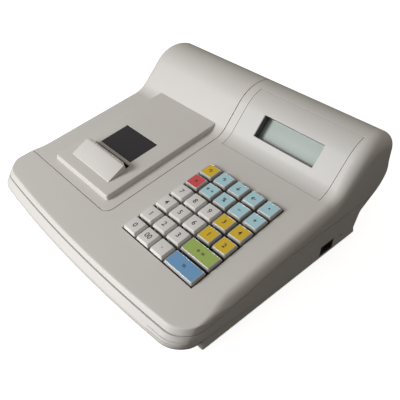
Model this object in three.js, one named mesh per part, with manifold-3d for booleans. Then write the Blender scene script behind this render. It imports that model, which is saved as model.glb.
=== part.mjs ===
// Ticket register: a small electronic cash register with a ticket printer under a hinged lid.
// Millimetres. X runs to the operator's right, Y from the operator to the back, Z up.
// The model is laid out from the nose of the case (y = 0) and centred on its footprint at the end.

import * as THREE from 'three';
import { mergeVertices } from 'three/addons/utils/BufferGeometryUtils.js';
import Module from 'manifold-3d';

const wasm = await Module();
wasm.setup();

const degrees = THREE.MathUtils.degToRad;

// Case, driving sizes
const caseWidth = 295.5;
const caseDepth = 278.5;

// Distances from the back, from the right side and from the printer lid's right edge
const fromRear = {
  base: 40.7, humpFoot: 82.4, crown: 39.7, platform: 66.5, bezelFront: 90.9, bezelRear: 37, screen: 64.9,
  roll: 44.5, boardFront: 128.5, boardRear: 46.5, socketFront: 97.7, socketRear: 78.3, sideHole: 66.6,
  foot: 60.5, screw: 64.5,
};
const fromSide = {
  bezel: 16.6, board: 12.75, jack: 51.75, foot: 29.75, screw: 6.75, platform: 35.75, hinge: 26,
};
const fromLid = { bezel: 10.95, board: 7.3, platform: 12.5, hinge: 26.45 };
const lidRight = -3.3;
const sideX = caseWidth / 2;
const baseRear = caseDepth - fromRear.base;
const humpFoot = caseDepth - fromRear.humpFoot;
const crownPeak = caseDepth - fromRear.crown;

// Wall, deck, nose, base and hump
const wall = 2.6;
const seat = 0.3;
const overrun = 5;
const deckTilt = degrees(9.5);
const deckHeightAtNose = 29.25;
const groundGap = 2;
const lipHeight = 12;
const lipDepth = 32;
const lipShelf = 3;
const noseFaceTilt = degrees(52.5);
const noseTop = 9.4;
const baseRearLean = degrees(14);
const kinkHeight = 25.5;
const undersideTilt = degrees(33);
const humpFaceTilt = degrees(50);
const crownBackTilt = degrees(20);

// Roundings of the side profile
const profileRadii = {
  step: 2, bottom: 1.5, kink: 4, underside: 36, crownBack: 18, crown: 41.2, sweep: 25, noseTop: 3.5, nose: 5,
};
const smallestRadius = 0.6;
const smallestRounding = 0.3;

// Plan of the front and roundings of the side edges
const frontBow = 7.5;
const cornerRadius = 22;
const pullFrom = 20;
const pullTo = 75;
const edgeRadius = { nose: 3.2, under: 6.5, deck: 9.6, hump: 13, bottom: 1.3 };
const edgeRampDepth = 60;
const deckRamp = 20;
const humpRampFrom = 58;
const humpRampTo = 93;
const bottomRamp = 6;

// Seam between base and upper housing
const seamGap = 0.4;
const seamBelowDeck = 10;
const seamFrontHeight = 26.6;
const seamRearHeight = 38.5;

// Printer lid
const lidFront = 48;
const lidCorner = 9;
const lidGap = 0.6;
const lidSkirt = 4.3;
const hingeHeight = 70;
const hingeRadius = 2.6;
const hingePinRadius = 1;
const hingeBore = 1.3;
const hingeKnuckle = 9;
const hingeKnuckleGap = 0.4;
const lidLedge = 4;
const ledgeThickness = 1.8;
const ledgeReach = 7;

// Raised platform, hood, tear bar and window of the lid
const platform = {
  left: -sideX + fromSide.platform, right: lidRight - fromLid.platform,
  front: 58, rear: caseDepth - fromRear.platform, rise: 5, stepIn: 1,
};
const platformMidX = (platform.left + platform.right) / 2;
const printerAside = 0.85;
const printerCentre = platformMidX - printerAside;
const paperWidth = 57.5;
const hoodMargin = 4.5;
const hood = {
  left: printerCentre - paperWidth / 2 - hoodMargin, right: printerCentre + paperWidth / 2 + hoodMargin,
  front: 71.5, rear: 93.4, rise: 7.4, lip: 0.6, wall: 2,
};
const tearBar = { thickness: 0.8, proud: 1, depth: 5, tooth: 2.2, bite: 0.9, clear: 0.3 };
const slotDepth = 5.5;
const slotMargin = 3;
const windowSize = { width: 53, depth: 36.2, front: 103.2, thickness: 1, ledge: 1.6, sunk: 0.4 };

// Display
const bezel = {
  left: lidRight + fromLid.bezel, right: sideX - fromSide.bezel,
  front: caseDepth - fromRear.bezelFront, rear: caseDepth - fromRear.bezelRear, thickness: 1.3, gap: 0.35,
};
const displayCentre = { x: (bezel.left + bezel.right) / 2, y: caseDepth - fromRear.screen };
const screen = { width: 73.4, height: 23.6, depth: 9.6, gasketWall: 1.1 };
const lcd = { width: 80, height: 31, thickness: 3 };
const boardMargin = 17.5;
const displayBoard = { width: bezel.right - bezel.left - boardMargin, height: 42, thickness: 1.6 };

// Keypad
const keyPitch = 19;
const keyRows = 6;
const keyColumns = 5;
const keypadMargin = { front: 37.66, rear: 37.56 };
const rowPitch = (humpFoot - noseTop - keypadMargin.front - keypadMargin.rear) / keyRows;
const keypadCentreX = displayCentre.x;
const keypadCentreY = noseTop + keypadMargin.front + rowPitch * keyRows / 2;
const keyCap = { gap: 1.5, proud: 3.5, shoulder: 0.6, skirt: 5, crown: 1.6, side: 1.3 };
const keyTopInset = 1.5;
const keyShoulderInset = 0.35;
const keyCorner = 1.2;
const keyTopCorner = 2;
const keyStem = 5;
const keyTravel = 3.5;
const openingMargin = 0.8;
const frame = { rim: 1.6, plate: 2, travelClear: 0.7, foot: 5, stemBelow: 0.8 };
const domes = { sheet: 1, rise: 1.5, radius: 4, top: 2.5, sides: 6 };
const keyboardBoardThickness = 1.6;

// Printer mechanism and paper
const chassis = { inner: 61, cheek: 2, floor: 2, front: 74, barDepth: 5 };
const cradle = { thickness: 2, from: degrees(205), to: degrees(335), steps: 8 };
const platen = { y: 97, z: 33, radius: 6, width: 59, shaft: 2, shaftEnd: 1.5 };
const gear = { toothSize: 0.8, platenTeeth: 32, pinionTeeth: 10, width: 3.5, backlash: 0.35, bore: 2.3 };
const toothShares = { root: 0.27, tip: 0.1, addendum: 0.8, dedendum: 1.15 };
const motor = { radius: 9.6, depth: 16, shaft: 1.2, direction: degrees(-50) };
const printHead = { thickness: 3, height: 18, bottom: 24 };
const roll = { y: caseDepth - fromRear.roll, z: 57, radius: 26, core: 6.5 };

// Boards, sockets, screws and feet
const mainBoard = {
  left: lidRight + fromLid.board, right: sideX - fromSide.board,
  front: caseDepth - fromRear.boardFront, rear: caseDepth - fromRear.boardRear,
  height: 17.7, thickness: 1.6, post: 3,
};
const socket = {
  front: caseDepth - fromRear.socketFront, rear: caseDepth - fromRear.socketRear,
  depth: 16, margin: 0.3, cavityWidth: 12, cavityHeight: 7, cavityDepth: 11,
};
const sideHole = { y: caseDepth - fromRear.sideHole, z: 13.1, radius: 1.8 };
const jack = {
  x: sideX - fromSide.jack, z: 12.6, width: 9.4, height: 9.4, depth: 12, bore: 3.2, boreDepth: 9, sunk: 0.6,
};
const foot = { radius: 8, height: 3.2, x: sideX - fromSide.foot, front: 48, rear: caseDepth - fromRear.foot };
const screw = {
  x: sideX - fromSide.screw, front: 40, rear: caseDepth - fromRear.screw,
  head: 3, headHeight: 2.2, shank: 1.5, reach: 10, boss: 4.4,
};
const screwSeatDrop = 4;
const rearBossTop = 52;
const partition = { thickness: 2, right: 0.1, front: 44.5 };
const bite = 0.1;

// Round pieces
const roundSteps = 16;
const smallSteps = 10;
const planSteps = 4;

// Colours and finishes
const finish = (color, roughness, metalness = 0) => (
  new THREE.MeshStandardMaterial({ color, roughness, metalness })
);
const look = {
  casing: finish(0xbab6b2, 0.55),
  panel: finish(0xbebab6, 0.5),
  keyWhite: finish(0xd2cecb, 0.45),
  keyYellow: finish(0xc8a528, 0.4),
  keyPale: finish(0x96c3d2, 0.4),
  keyRed: finish(0xc8464b, 0.4),
  keyGreen: finish(0x87a550, 0.4),
  keyBlue: finish(0x558cbe, 0.4),
  black: finish(0x2d2d32, 0.5),
  tint: finish(0x2d2c32, 0.15),
  lcd: finish(0xaab9b2, 0.2),
  board: finish(0x1f6b3a, 0.5),
  steel: finish(0xc0c0c0, 0.35, 1),
  rubber: finish(0x2a2a2a, 0.85),
  gearWhite: finish(0xe8e4d8, 0.5),
  paper: finish(0xf4f2ec, 0.9),
};

const register = new THREE.Group();

// Solids
const solid = (geometry) => {
  const bare = geometry.clone();
  bare.deleteAttribute('normal');
  bare.deleteAttribute('uv');
  const merged = mergeVertices(bare);
  const vertProperties = new Float32Array(merged.attributes.position.array);
  const triVerts = new Uint32Array(merged.index.array);
  return new wasm.Manifold(new wasm.Mesh({ numProp: 3, vertProperties, triVerts }));
};

const geometryOf = (manifold) => {
  const mesh = manifold.getMesh();
  const geometry = new THREE.BufferGeometry();
  geometry.setAttribute('position', new THREE.BufferAttribute(mesh.vertProperties, mesh.numProp));
  geometry.setIndex(new THREE.BufferAttribute(mesh.triVerts, 1));
  geometry.computeVertexNormals();
  return geometry;
};

const shapeOf = (points) => new THREE.Shape(points.map(([u, v]) => new THREE.Vector2(u, v)));

const extruded = (shape, depth) => (
  new THREE.ExtrudeGeometry(shape, { depth, bevelEnabled: false, curveSegments: planSteps })
);

// An outline given in (y, z), drawn along X from left to right
const crosswise = (shape, left, right) => {
  const geometry = extruded(shape, right - left);
  geometry.rotateX(Math.PI / 2);
  geometry.rotateZ(Math.PI / 2);
  geometry.translate(left, 0, 0);
  return geometry;
};

const block = (left, right, front, rear, low, high) => {
  const geometry = new THREE.BoxGeometry(right - left, rear - front, high - low);
  geometry.translate((left + right) / 2, (front + rear) / 2, (low + high) / 2);
  return geometry;
};

const rod = (radius, left, right, y, z, steps = roundSteps) => {
  const geometry = new THREE.CylinderGeometry(radius, radius, right - left, steps);
  geometry.rotateZ(Math.PI / 2);
  geometry.translate((left + right) / 2, y, z);
  return geometry;
};

const post = (radius, x, y, low, high, steps = smallSteps) => {
  const geometry = new THREE.CylinderGeometry(radius, radius, high - low, steps);
  geometry.rotateX(Math.PI / 2);
  geometry.translate(x, y, (low + high) / 2);
  return geometry;
};

const turned = (profile, left, y, z, steps = roundSteps) => {
  const points = profile.map(([radius, along]) => new THREE.Vector2(radius, along));
  const geometry = new THREE.LatheGeometry(points, steps);
  geometry.rotateZ(-Math.PI / 2);
  geometry.translate(left, y, z);
  return geometry;
};

const joined = (...geometries) => geometries.map(asSolid).reduce((sum, piece) => sum.add(piece));
const asSolid = (piece) => (piece.isBufferGeometry ? solid(piece) : piece);
const cut = (piece, ...tools) => tools.reduce((rest, tool) => rest.subtract(asSolid(tool)), asSolid(piece));

const add = (name, piece, material, parent = register) => {
  const geometry = piece.isBufferGeometry ? piece : geometryOf(piece);
  const mesh = new THREE.Mesh(geometry, material);
  mesh.name = name;
  parent.add(mesh);
  return mesh;
};

// A closed skin over rings of points, each ring with as many points, closed by a fan at both ends
const ringSkin = (rings) => {
  const count = rings[0].length;
  const centre = (ring) => ring.reduce((sum, p) => sum.add(p), new THREE.Vector3()).divideScalar(count);
  const points = [...rings.flat(), centre(rings[0]), centre(rings[rings.length - 1])];
  const index = [];
  for (let r = 0; r + 1 < rings.length; r += 1) {
    for (let i = 0; i < count; i += 1) {
      const j = (i + 1) % count;
      const a = r * count;
      const b = a + count;
      index.push(a + i, a + j, b + j, a + i, b + j, b + i);
    }
  }
  const first = rings.length * count;
  const last = (rings.length - 1) * count;
  for (let i = 0; i < count; i += 1) {
    const j = (i + 1) % count;
    index.push(first, j, i, first + 1, last + i, last + j);
  }
  const geometry = new THREE.BufferGeometry().setFromPoints(points);
  geometry.setIndex(index);
  return geometry;
};

// Side profile of the case, worked out from its corners
const deckAt = (y) => deckHeightAtNose + y * Math.tan(deckTilt);
const kinkY = baseRear + (kinkHeight - groundGap) * Math.tan(baseRearLean);
const crownPeakHeight = deckAt(humpFoot) + (crownPeak - humpFoot) * Math.tan(humpFaceTilt);
const crownBackHeight = crownPeakHeight - (caseDepth - crownPeak) * Math.tan(crownBackTilt);
const undersideHeight = kinkHeight + (caseDepth - kinkY) * Math.tan(undersideTilt);
const lipPoint = noseTop - (deckAt(noseTop) - lipHeight) / Math.tan(noseFaceTilt);

const caseCorners = [
  { y: lipDepth, z: groundGap, radius: profileRadii.bottom, steps: 1 },
  { y: baseRear, z: groundGap, radius: profileRadii.bottom, steps: 1 },
  { y: kinkY, z: kinkHeight, radius: profileRadii.kink, steps: 1 },
  { y: caseDepth, z: undersideHeight, radius: profileRadii.underside, steps: 4 },
  { y: caseDepth, z: crownBackHeight, radius: profileRadii.crownBack, steps: 4 },
  { y: crownPeak, z: crownPeakHeight, radius: profileRadii.crown, steps: 7 },
  { y: humpFoot, z: deckAt(humpFoot), radius: profileRadii.sweep, steps: 4 },
  { y: noseTop, z: deckAt(noseTop), radius: profileRadii.noseTop, steps: 2 },
  { y: lipPoint, z: lipHeight, radius: profileRadii.nose, steps: 5 },
  { y: lipDepth, z: lipHeight, radius: profileRadii.step, steps: 1 },
];

const leftOf = (from, to) => {
  const length = Math.hypot(to.y - from.y, to.z - from.z);
  return { y: -(to.z - from.z) / length, z: (to.y - from.y) / length };
};

// The corners moved inwards so that every side of the profile steps in by the inset
const insetCorners = (corners, inset) => corners.map((corner, i) => {
  const before = corners[(i + corners.length - 1) % corners.length];
  const after = corners[(i + 1) % corners.length];
  const a = leftOf(before, corner);
  const b = leftOf(corner, after);
  const turn = a.y * b.z - a.z * b.y;
  const share = inset / (1 + a.y * b.y + a.z * b.z);
  const radius = Math.max(corner.radius - Math.sign(turn) * inset, smallestRadius);
  return { ...corner, y: corner.y + (a.y + b.y) * share, z: corner.z + (a.z + b.z) * share, radius };
});

// Each corner as an arc of its radius, as points with the outward normal
const arcsOf = (corners) => corners.flatMap((corner, i) => {
  const before = corners[(i + corners.length - 1) % corners.length];
  const after = corners[(i + 1) % corners.length];
  const a = leftOf(before, corner);
  const b = leftOf(corner, after);
  const turn = Math.sign(a.y * b.z - a.z * b.y);
  const reach = corner.radius / (1 + a.y * b.y + a.z * b.z);
  const centre = { y: corner.y + turn * (a.y + b.y) * reach, z: corner.z + turn * (a.z + b.z) * reach };
  const from = Math.atan2(-a.z * turn, -a.y * turn);
  const to = Math.atan2(-b.z * turn, -b.y * turn);
  const sweep = Math.atan2(Math.sin(to - from), Math.cos(to - from));
  return Array.from({ length: corner.steps + 1 }, (_, k) => {
    const angle = from + sweep * k / corner.steps;
    const y = centre.y + corner.radius * Math.cos(angle);
    const z = centre.z + corner.radius * Math.sin(angle);
    return { y, z, ny: turn * Math.cos(angle), nz: turn * Math.sin(angle) };
  });
});

// Extra points where the profile's long sides cross the planes that the rounded front needs
const pullShares = [0.25, 0.5, 0.75, 1];
const crossingPlanes = [...pullShares.map((share) => pullFrom + (pullTo - pullFrom) * share)];
const withCrossings = (points) => points.flatMap((point, i) => {
  const next = points[(i + 1) % points.length];
  const between = crossingPlanes.filter((y) => (y - point.y) * (y - next.y) < 0);
  between.sort((p, q) => (next.y > point.y ? p - q : q - p));
  return [point, ...between.map((y) => {
    const share = (y - point.y) / (next.y - point.y);
    return { y, z: point.z + (next.z - point.z) * share, ny: point.ny, nz: point.nz };
  })];
});

const smooth = THREE.MathUtils.smoothstep;
const lerp = THREE.MathUtils.lerp;

const edgeRadiusAt = ({ y, z }) => {
  const upper = lerp(edgeRadius.under, edgeRadius.deck, smooth(z, deckAt(y) - deckRamp, deckAt(y)));
  const deck = lerp(edgeRadius.nose, upper, smooth(y, noseTop, noseTop + edgeRampDepth));
  const hump = deck + (edgeRadius.hump - edgeRadius.deck) * smooth(z, humpRampFrom, humpRampTo);
  return lerp(edgeRadius.bottom, hump, smooth(z, groundGap, groundGap + bottomRamp));
};

const midShares = [-1, -0.5, 0, 0.5, 1];
const cornerShares = [0.4, 0.75];
const edgeAngles = [0, 30, 60, 90].map(degrees);

// Every station across the case gives, for a profile point, its x and its step inwards
const stations = [
  ...edgeAngles.map((angle) => ({ side: -1, angle })).reverse(),
  ...cornerShares.map((corner) => ({ side: -1, corner })).reverse(),
  ...midShares.map((mid) => ({ mid })),
  ...cornerShares.map((corner) => ({ side: 1, corner })),
  ...edgeAngles.map((angle) => ({ side: 1, angle })),
];

const bowedFront = (x, half, radius) => {
  const past = Math.min(Math.max(Math.abs(x) - (half - radius), 0) / radius, 1);
  return frontBow * (x / half) ** 2 + radius * (1 - Math.sqrt(1 - past * past));
};

const stationPoint = (point, station, inset) => {
  const half = sideX - inset;
  const radius = cornerRadius - inset;
  const rounding = Math.max(edgeRadiusAt(point) - inset, smallestRounding);
  let x = (half - radius) * (station.mid ?? 0);
  let stepIn = 0;
  if (station.corner !== undefined) {
    x = station.side * (half - radius + (radius - rounding) * station.corner);
  }
  if (station.angle !== undefined) {
    x = station.side * (half - rounding * (1 - Math.sin(station.angle)));
    stepIn = rounding * (1 - Math.cos(station.angle));
  }
  const y = point.y - point.ny * stepIn;
  const z = point.z - point.nz * stepIn;
  const free = bowedFront(x, half, radius) * (1 - smooth(y, pullFrom, pullTo));
  const low = point.z < lipHeight + inset + seat;
  const pull = low ? Math.min(free, Math.max(lipDepth - lipShelf - y, 0)) : free;
  const riseShare = THREE.MathUtils.clamp((z - lipHeight) / (deckAt(noseTop) - lipHeight), 0, 1);
  const rise = pull * Math.tan(deckTilt) * riseShare;
  return new THREE.Vector3(x, y + pull, z + rise);
};

// The case as one solid, stepped in all round by the inset
const caseBody = (inset) => {
  const profile = withCrossings(arcsOf(insetCorners(caseCorners, inset)));
  const rings = stations.map((station) => profile.map((point) => stationPoint(point, station, inset)));
  const count = profile.length;
  const index = [];
  for (let s = 0; s + 1 < rings.length; s += 1) {
    for (let i = 0; i < count; i += 1) {
      const j = (i + 1) % count;
      const a = s * count;
      const b = a + count;
      index.push(a + i, a + j, b + j, a + i, b + j, b + i);
    }
  }
  const lastRing = (rings.length - 1) * count;
  [[rings[0], 0], [rings[rings.length - 1], lastRing]].forEach(([ring, start]) => {
    const outline = ring.map((p) => [p.y, p.z]);
    wasm.triangulate([outline]).forEach(([a, b, c]) => {
      index.push(start + a, start + (start ? b : c), start + (start ? c : b));
    });
  });
  const geometry = new THREE.BufferGeometry().setFromPoints(rings.flat());
  geometry.setIndex(index);
  return solid(geometry);
};


// Case shells: one skin with its inner walls and screw bosses, split at the seam, then the lid taken out
const farSide = caseWidth;
const seamStart = (seamFrontHeight + seamBelowDeck - deckHeightAtNose) / Math.tan(deckTilt);
const seamEnd = (seamRearHeight + seamBelowDeck - deckHeightAtNose) / Math.tan(deckTilt);

const belowSeam = (shift) => crosswise(shapeOf([
  [-farSide, -overrun],
  [caseDepth + farSide, -overrun],
  [caseDepth + farSide, seamRearHeight + shift],
  [seamEnd, seamRearHeight + shift],
  [seamStart, seamFrontHeight + shift],
  [-farSide, seamFrontHeight + shift],
]), -farSide, farSide);

const seamHeightAt = (y) => THREE.MathUtils.clamp(deckAt(y) - seamBelowDeck, seamFrontHeight, seamRearHeight);

const lidPlan = (grow) => {
  const radius = lidCorner + grow;
  const right = lidRight + grow;
  const front = lidFront - grow;
  const shape = new THREE.Shape();
  shape.moveTo(-farSide, front);
  shape.lineTo(right - radius, front);
  shape.absarc(right - radius, front + radius, radius, -Math.PI / 2, 0);
  shape.lineTo(right, caseDepth + overrun);
  shape.lineTo(-farSide, caseDepth + overrun);
  return shape;
};

const skirtFront = deckAt(lidFront) - lidSkirt;
const skirtRise = (hingeHeight - skirtFront) / (caseDepth - lidFront);
const skirtAt = (y) => skirtFront + (y - lidFront) * skirtRise;

const lidRegion = (grow) => {
  const plan = extruded(lidPlan(grow), farSide);
  const side = crosswise(shapeOf([
    [0, skirtAt(0) - grow],
    [caseDepth + overrun, skirtAt(caseDepth + overrun) - grow],
    [caseDepth + overrun, farSide],
    [0, farSide],
  ]), -farSide, farSide);
  return solid(plan).intersect(solid(side));
};

const mirrored = [-1, 1];
const screwSpots = mirrored.flatMap((side) => [
  { name: side < 0 ? 'front_left' : 'front_right', x: side * screw.x, y: screw.front, top: farSide },
  { name: side < 0 ? 'rear_left' : 'rear_right', x: side * screw.x, y: screw.rear, top: rearBossTop },
]).map((spot) => ({ ...spot, seatZ: seamHeightAt(spot.y) - screwSeatDrop }));

const footSpots = mirrored.flatMap((side) => [
  { name: side < 0 ? 'front_left' : 'front_right', x: side * foot.x, y: foot.front },
  { name: side < 0 ? 'rear_left' : 'rear_right', x: side * foot.x, y: foot.rear },
]);

const outerBody = caseBody(0);
const innerBody = caseBody(wall);
const wallBite = caseBody(wall - bite);

const sideWall = block(
  partition.right - partition.thickness, partition.right, partition.front, caseDepth, 0, farSide,
);
const frontWall = block(
  -farSide, partition.right, partition.front, partition.front + partition.thickness, 0, farSide,
);
const bosses = screwSpots.map((spot) => post(screw.boss, spot.x, spot.y, 0, spot.top));
const boardPosts = [0, 1].flatMap((u) => [0, 1].map((v) => {
  const x = lerp(mainBoard.left + mainBoard.post * 2, mainBoard.right - mainBoard.post * 2, u);
  const y = lerp(mainBoard.front + mainBoard.post * 2, mainBoard.rear - mainBoard.post * 2, v);
  return post(mainBoard.post, x, y, 0, mainBoard.height - seat);
}));
const fittings = joined(sideWall, frontWall, ...bosses, ...boardPosts).intersect(wallBite);

const screwBores = screwSpots.flatMap((spot) => [
  post(screw.head + seat, spot.x, spot.y, -overrun, spot.seatZ),
  post(screw.shank + seat, spot.x, spot.y, 0, spot.seatZ + screw.reach + seat),
]);
const footRecesses = footSpots.map((spot) => (
  post(foot.radius + seat, spot.x, spot.y, -overrun, foot.height + seat, roundSteps)
));

const shellBody = cut(outerBody.subtract(innerBody).add(fittings), ...screwBores, ...footRecesses);

// Base housing
const socketTop = mainBoard.height - seat;
const socketBottom = groundGap + wall + seat + socket.margin;
const sideHoleBore = rod(
  sideHole.radius, sideX - wall * 2, caseWidth, sideHole.y, sideHole.z, smallSteps,
);
const jackFace = baseRear + (jack.z - groundGap) * Math.tan(baseRearLean);
const jackOpening = block(
  jack.x - jack.width / 2 - seat, jack.x + jack.width / 2 + seat,
  jackFace - jack.depth, caseDepth,
  jack.z - jack.height / 2 - seat, jack.z + jack.height / 2 + seat,
);
const socketSlot = block(
  sideX - wall * 2, caseWidth, socket.front - socket.margin, socket.rear + socket.margin,
  socketBottom - socket.margin, socketTop + socket.margin,
);
const baseHousing = cut(
  shellBody.intersect(solid(belowSeam(-seamGap / 2))), socketSlot, sideHoleBore, jackOpening,
);
add('base_housing', baseHousing, look.casing);

// Hinge of the lid: two sets of three knuckles on the back of the hump
const hingeSpots = [
  { name: 'left', x: -sideX + fromSide.hinge },
  { name: 'right', x: lidRight - fromLid.hinge },
];
const knuckle = (spot, place, grow) => {
  const pitch = hingeKnuckle + hingeKnuckleGap;
  const left = spot.x + pitch * place - hingeKnuckle / 2 - (grow ? hingeKnuckleGap : 0);
  const right = left + hingeKnuckle + (grow ? hingeKnuckleGap * 2 : 0);
  const barrel = rod(hingeRadius + grow, left, right, caseDepth, hingeHeight, smallSteps);
  return barrel;
};
const hingeBores = hingeSpots.map((spot) => rod(
  hingeBore, spot.x - hingeKnuckle * 1.5 - hingeKnuckleGap, spot.x + hingeKnuckle * 1.5 + hingeKnuckleGap,
  caseDepth, hingeHeight, smallSteps,
));
hingeSpots.forEach((spot) => {
  const reach = hingeKnuckle * 1.5 + hingeKnuckleGap;
  const pin = rod(hingePinRadius, spot.x - reach, spot.x + reach, caseDepth, hingeHeight, smallSteps);
  add(`hinge_pin_${spot.name}`, pin, look.steel);
});

// Printer lid
const onDeck = (geometry, x, y) => {
  geometry.rotateX(deckTilt);
  geometry.translate(x, y, deckAt(y));
  return geometry;
};

const roundedRect = (width, height, radius, level, steps = 1) => {
  const corners = [[1, -1, -90], [1, 1, 0], [-1, 1, 90], [-1, -1, 180]];
  return corners.flatMap(([sx, sy, start]) => Array.from({ length: steps + 1 }, (_, k) => {
    const angle = degrees(start + 90 * k / steps);
    const x = sx * (width / 2 - radius) + radius * Math.cos(angle);
    const y = sy * (height / 2 - radius) + radius * Math.sin(angle);
    return new THREE.Vector3(x, y, level);
  }));
};

const platformMid = { x: platformMidX, y: (platform.front + platform.rear) / 2 };
const platformWidth = platform.right - platform.left;
const platformLength = (platform.rear - platform.front) / Math.cos(deckTilt);
const platformCorner = 3;
const platformEdge = 0.9;
const platformRing = (stepIn, level) => roundedRect(
  platformWidth - stepIn * 2, platformLength - stepIn * 2, platformCorner, level,
);
const platformOuter = solid(onDeck(ringSkin([
  platformRing(0, -wall / 2),
  platformRing(0, 0),
  platformRing(platform.stepIn, platform.rise - platformEdge),
  platformRing(platform.stepIn + platformEdge, platform.rise),
]), platformMid.x, platformMid.y));
const platformHollow = onDeck(ringSkin([
  platformRing(wall, -overrun),
  platformRing(wall + platform.stepIn, platform.rise - wall),
]), platformMid.x, platformMid.y);

const hoodLength = (hood.rear - hood.front) / Math.cos(deckTilt);
const hoodTop = platform.rise + hood.rise;
const hoodWedge = onDeck(crosswise(shapeOf([
  [0, platform.rise - wall / 2],
  [hoodLength, platform.rise - wall / 2],
  [hoodLength, hoodTop],
  [hoodLength - hood.wall, hoodTop],
  [0, platform.rise + hood.lip],
]), hood.left, hood.right), 0, hood.front);
const hoodHollow = onDeck(crosswise(shapeOf([
  [hood.wall * 3, -overrun],
  [hoodLength - hood.wall, -overrun],
  [hoodLength - hood.wall, hoodTop - hood.wall],
  [hood.wall * 3, platform.rise + hood.lip - hood.wall / 2],
]), hood.left + hood.wall, hood.right - hood.wall), 0, hood.front);
const slotFar = hoodLength + tearBar.clear + tearBar.thickness + slotDepth;
const paperSlot = onDeck(crosswise(shapeOf([
  [hoodLength, -overrun],
  [slotFar, -overrun],
  [slotFar, hoodTop + overrun],
  [hoodLength, hoodTop + overrun],
]), hood.left + slotMargin, hood.right - slotMargin), 0, hood.front);

const windowMidY = windowSize.front + windowSize.depth / 2 * Math.cos(deckTilt);
const windowPocketFloor = platform.rise - windowSize.sunk - windowSize.thickness - seat;
const plate = (width, depth, low, high, x, y) => onDeck(
  block(-width / 2, width / 2, -depth / 2, depth / 2, low, high), x, y,
);
const windowPocket = plate(
  windowSize.width, windowSize.depth, windowPocketFloor, hoodTop, printerCentre, windowMidY,
);
const windowHole = plate(
  windowSize.width - windowSize.ledge * 2, windowSize.depth - windowSize.ledge * 2,
  -overrun, hoodTop, printerCentre, windowMidY,
);
const windowPane = plate(
  windowSize.width - seat * 2, windowSize.depth - seat * 2,
  windowPocketFloor + seat, windowPocketFloor + seat + windowSize.thickness, printerCentre, windowMidY,
);

const aboveSeam = cut(shellBody, belowSeam(seamGap / 2));
const lidSkin = outerBody.subtract(innerBody).intersect(lidRegion(-lidGap / 2));
const lidWithPlatform = lidSkin.add(platformOuter.subtract(innerBody)).add(solid(hoodWedge));
const lidKnuckles = hingeSpots.flatMap((spot) => mirrored.map((side) => knuckle(spot, side, 0)));
const housingKnuckles = hingeSpots.map((spot) => knuckle(spot, 0, 0));
const housingNotches = hingeSpots.map((spot) => knuckle(spot, 0, seat));
const lidNotches = hingeSpots.flatMap((spot) => mirrored.map((side) => knuckle(spot, side, seat)));
const printerLid = cut(
  cut(lidWithPlatform, ...housingNotches).add(joined(...lidKnuckles)),
  platformHollow, hoodHollow, paperSlot, windowPocket, windowHole, ...hingeBores,
);
add('printer_lid', printerLid, look.casing);
add('lid_window', windowPane, look.tint);

const toothCount = Math.floor((hood.right - hood.left - slotMargin * 2 - seat * 2) / tearBar.tooth);
const barLeft = hood.left + slotMargin + seat;
const barWidth = hood.right - hood.left - (slotMargin + seat) * 2;
const barPoints = Array.from({ length: toothCount * 2 + 1 }, (_, k) => [
  barLeft + barWidth * k / (toothCount * 2),
  hoodTop + tearBar.proud - (k % 2 ? 0 : tearBar.bite),
]);
const barShape = shapeOf([
  [barLeft, hoodTop - tearBar.depth],
  [barLeft + barWidth, hoodTop - tearBar.depth],
  ...barPoints.reverse(),
]);
const barGeometry = extruded(barShape, tearBar.thickness);
barGeometry.rotateX(Math.PI / 2);
barGeometry.translate(0, hoodLength + tearBar.clear + tearBar.thickness, 0);
add('tear_bar', onDeck(barGeometry, 0, hood.front), look.steel);

// Ledge of the upper housing under the lid's front and right edges
const ledgeBand = cut(
  extruded(lidPlan(lidLedge), farSide),
  extruded(lidPlan(-lidLedge), farSide),
);
const ledgeOutside = cut(ledgeBand, lidRegion(lidGap / 2));
const ledgeTop = caseBody(wall + seat);
const ledgeBottom = caseBody(wall + seat + ledgeThickness);
const ledgeLimit = crosswise(shapeOf([
  [0, deckAt(0) - ledgeReach],
  [caseDepth, deckAt(caseDepth) - ledgeReach],
  [caseDepth, farSide],
  [0, farSide],
]), -farSide, farSide);
const ledge = ledgeTop.subtract(ledgeBottom).intersect(ledgeBand)
  .add(wallBite.subtract(ledgeBottom).intersect(ledgeOutside))
  .intersect(solid(ledgeLimit));

// Display: curved inlay, gasket, glass and board, in the frame of the hump's face
const onFace = (geometry) => {
  const rise = deckAt(humpFoot) + (displayCentre.y - humpFoot) * Math.tan(humpFaceTilt);
  geometry.rotateX(humpFaceTilt);
  geometry.translate(displayCentre.x, displayCentre.y, rise);
  return geometry;
};
const facePlate = (width, height, low, high) => onFace(
  block(-width / 2, width / 2, -height / 2, height / 2, low, high),
);
const bezelRegion = (grow) => block(
  bezel.left - grow, bezel.right + grow,
  bezel.front - grow, bezel.rear + grow, seamRearHeight, farSide,
);
const bezelInner = caseBody(bezel.thickness);
const screenHole = facePlate(screen.width, screen.height, -screen.depth - overrun, overrun);
const gasketOuter = {
  width: screen.width + screen.gasketWall * 2,
  height: screen.height + screen.gasketWall * 2,
};
const gasketHole = facePlate(
  gasketOuter.width + seat * 2, gasketOuter.height + seat * 2, -overrun * 2, overrun,
);
const displayBezel = cut(outerBody.intersect(solid(bezelRegion(0))), bezelInner, screenHole);
const bezelPocket = solid(bezelRegion(bezel.gap)).subtract(caseBody(bezel.thickness + bezel.gap));
add('display_bezel', displayBezel, look.panel);

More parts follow.
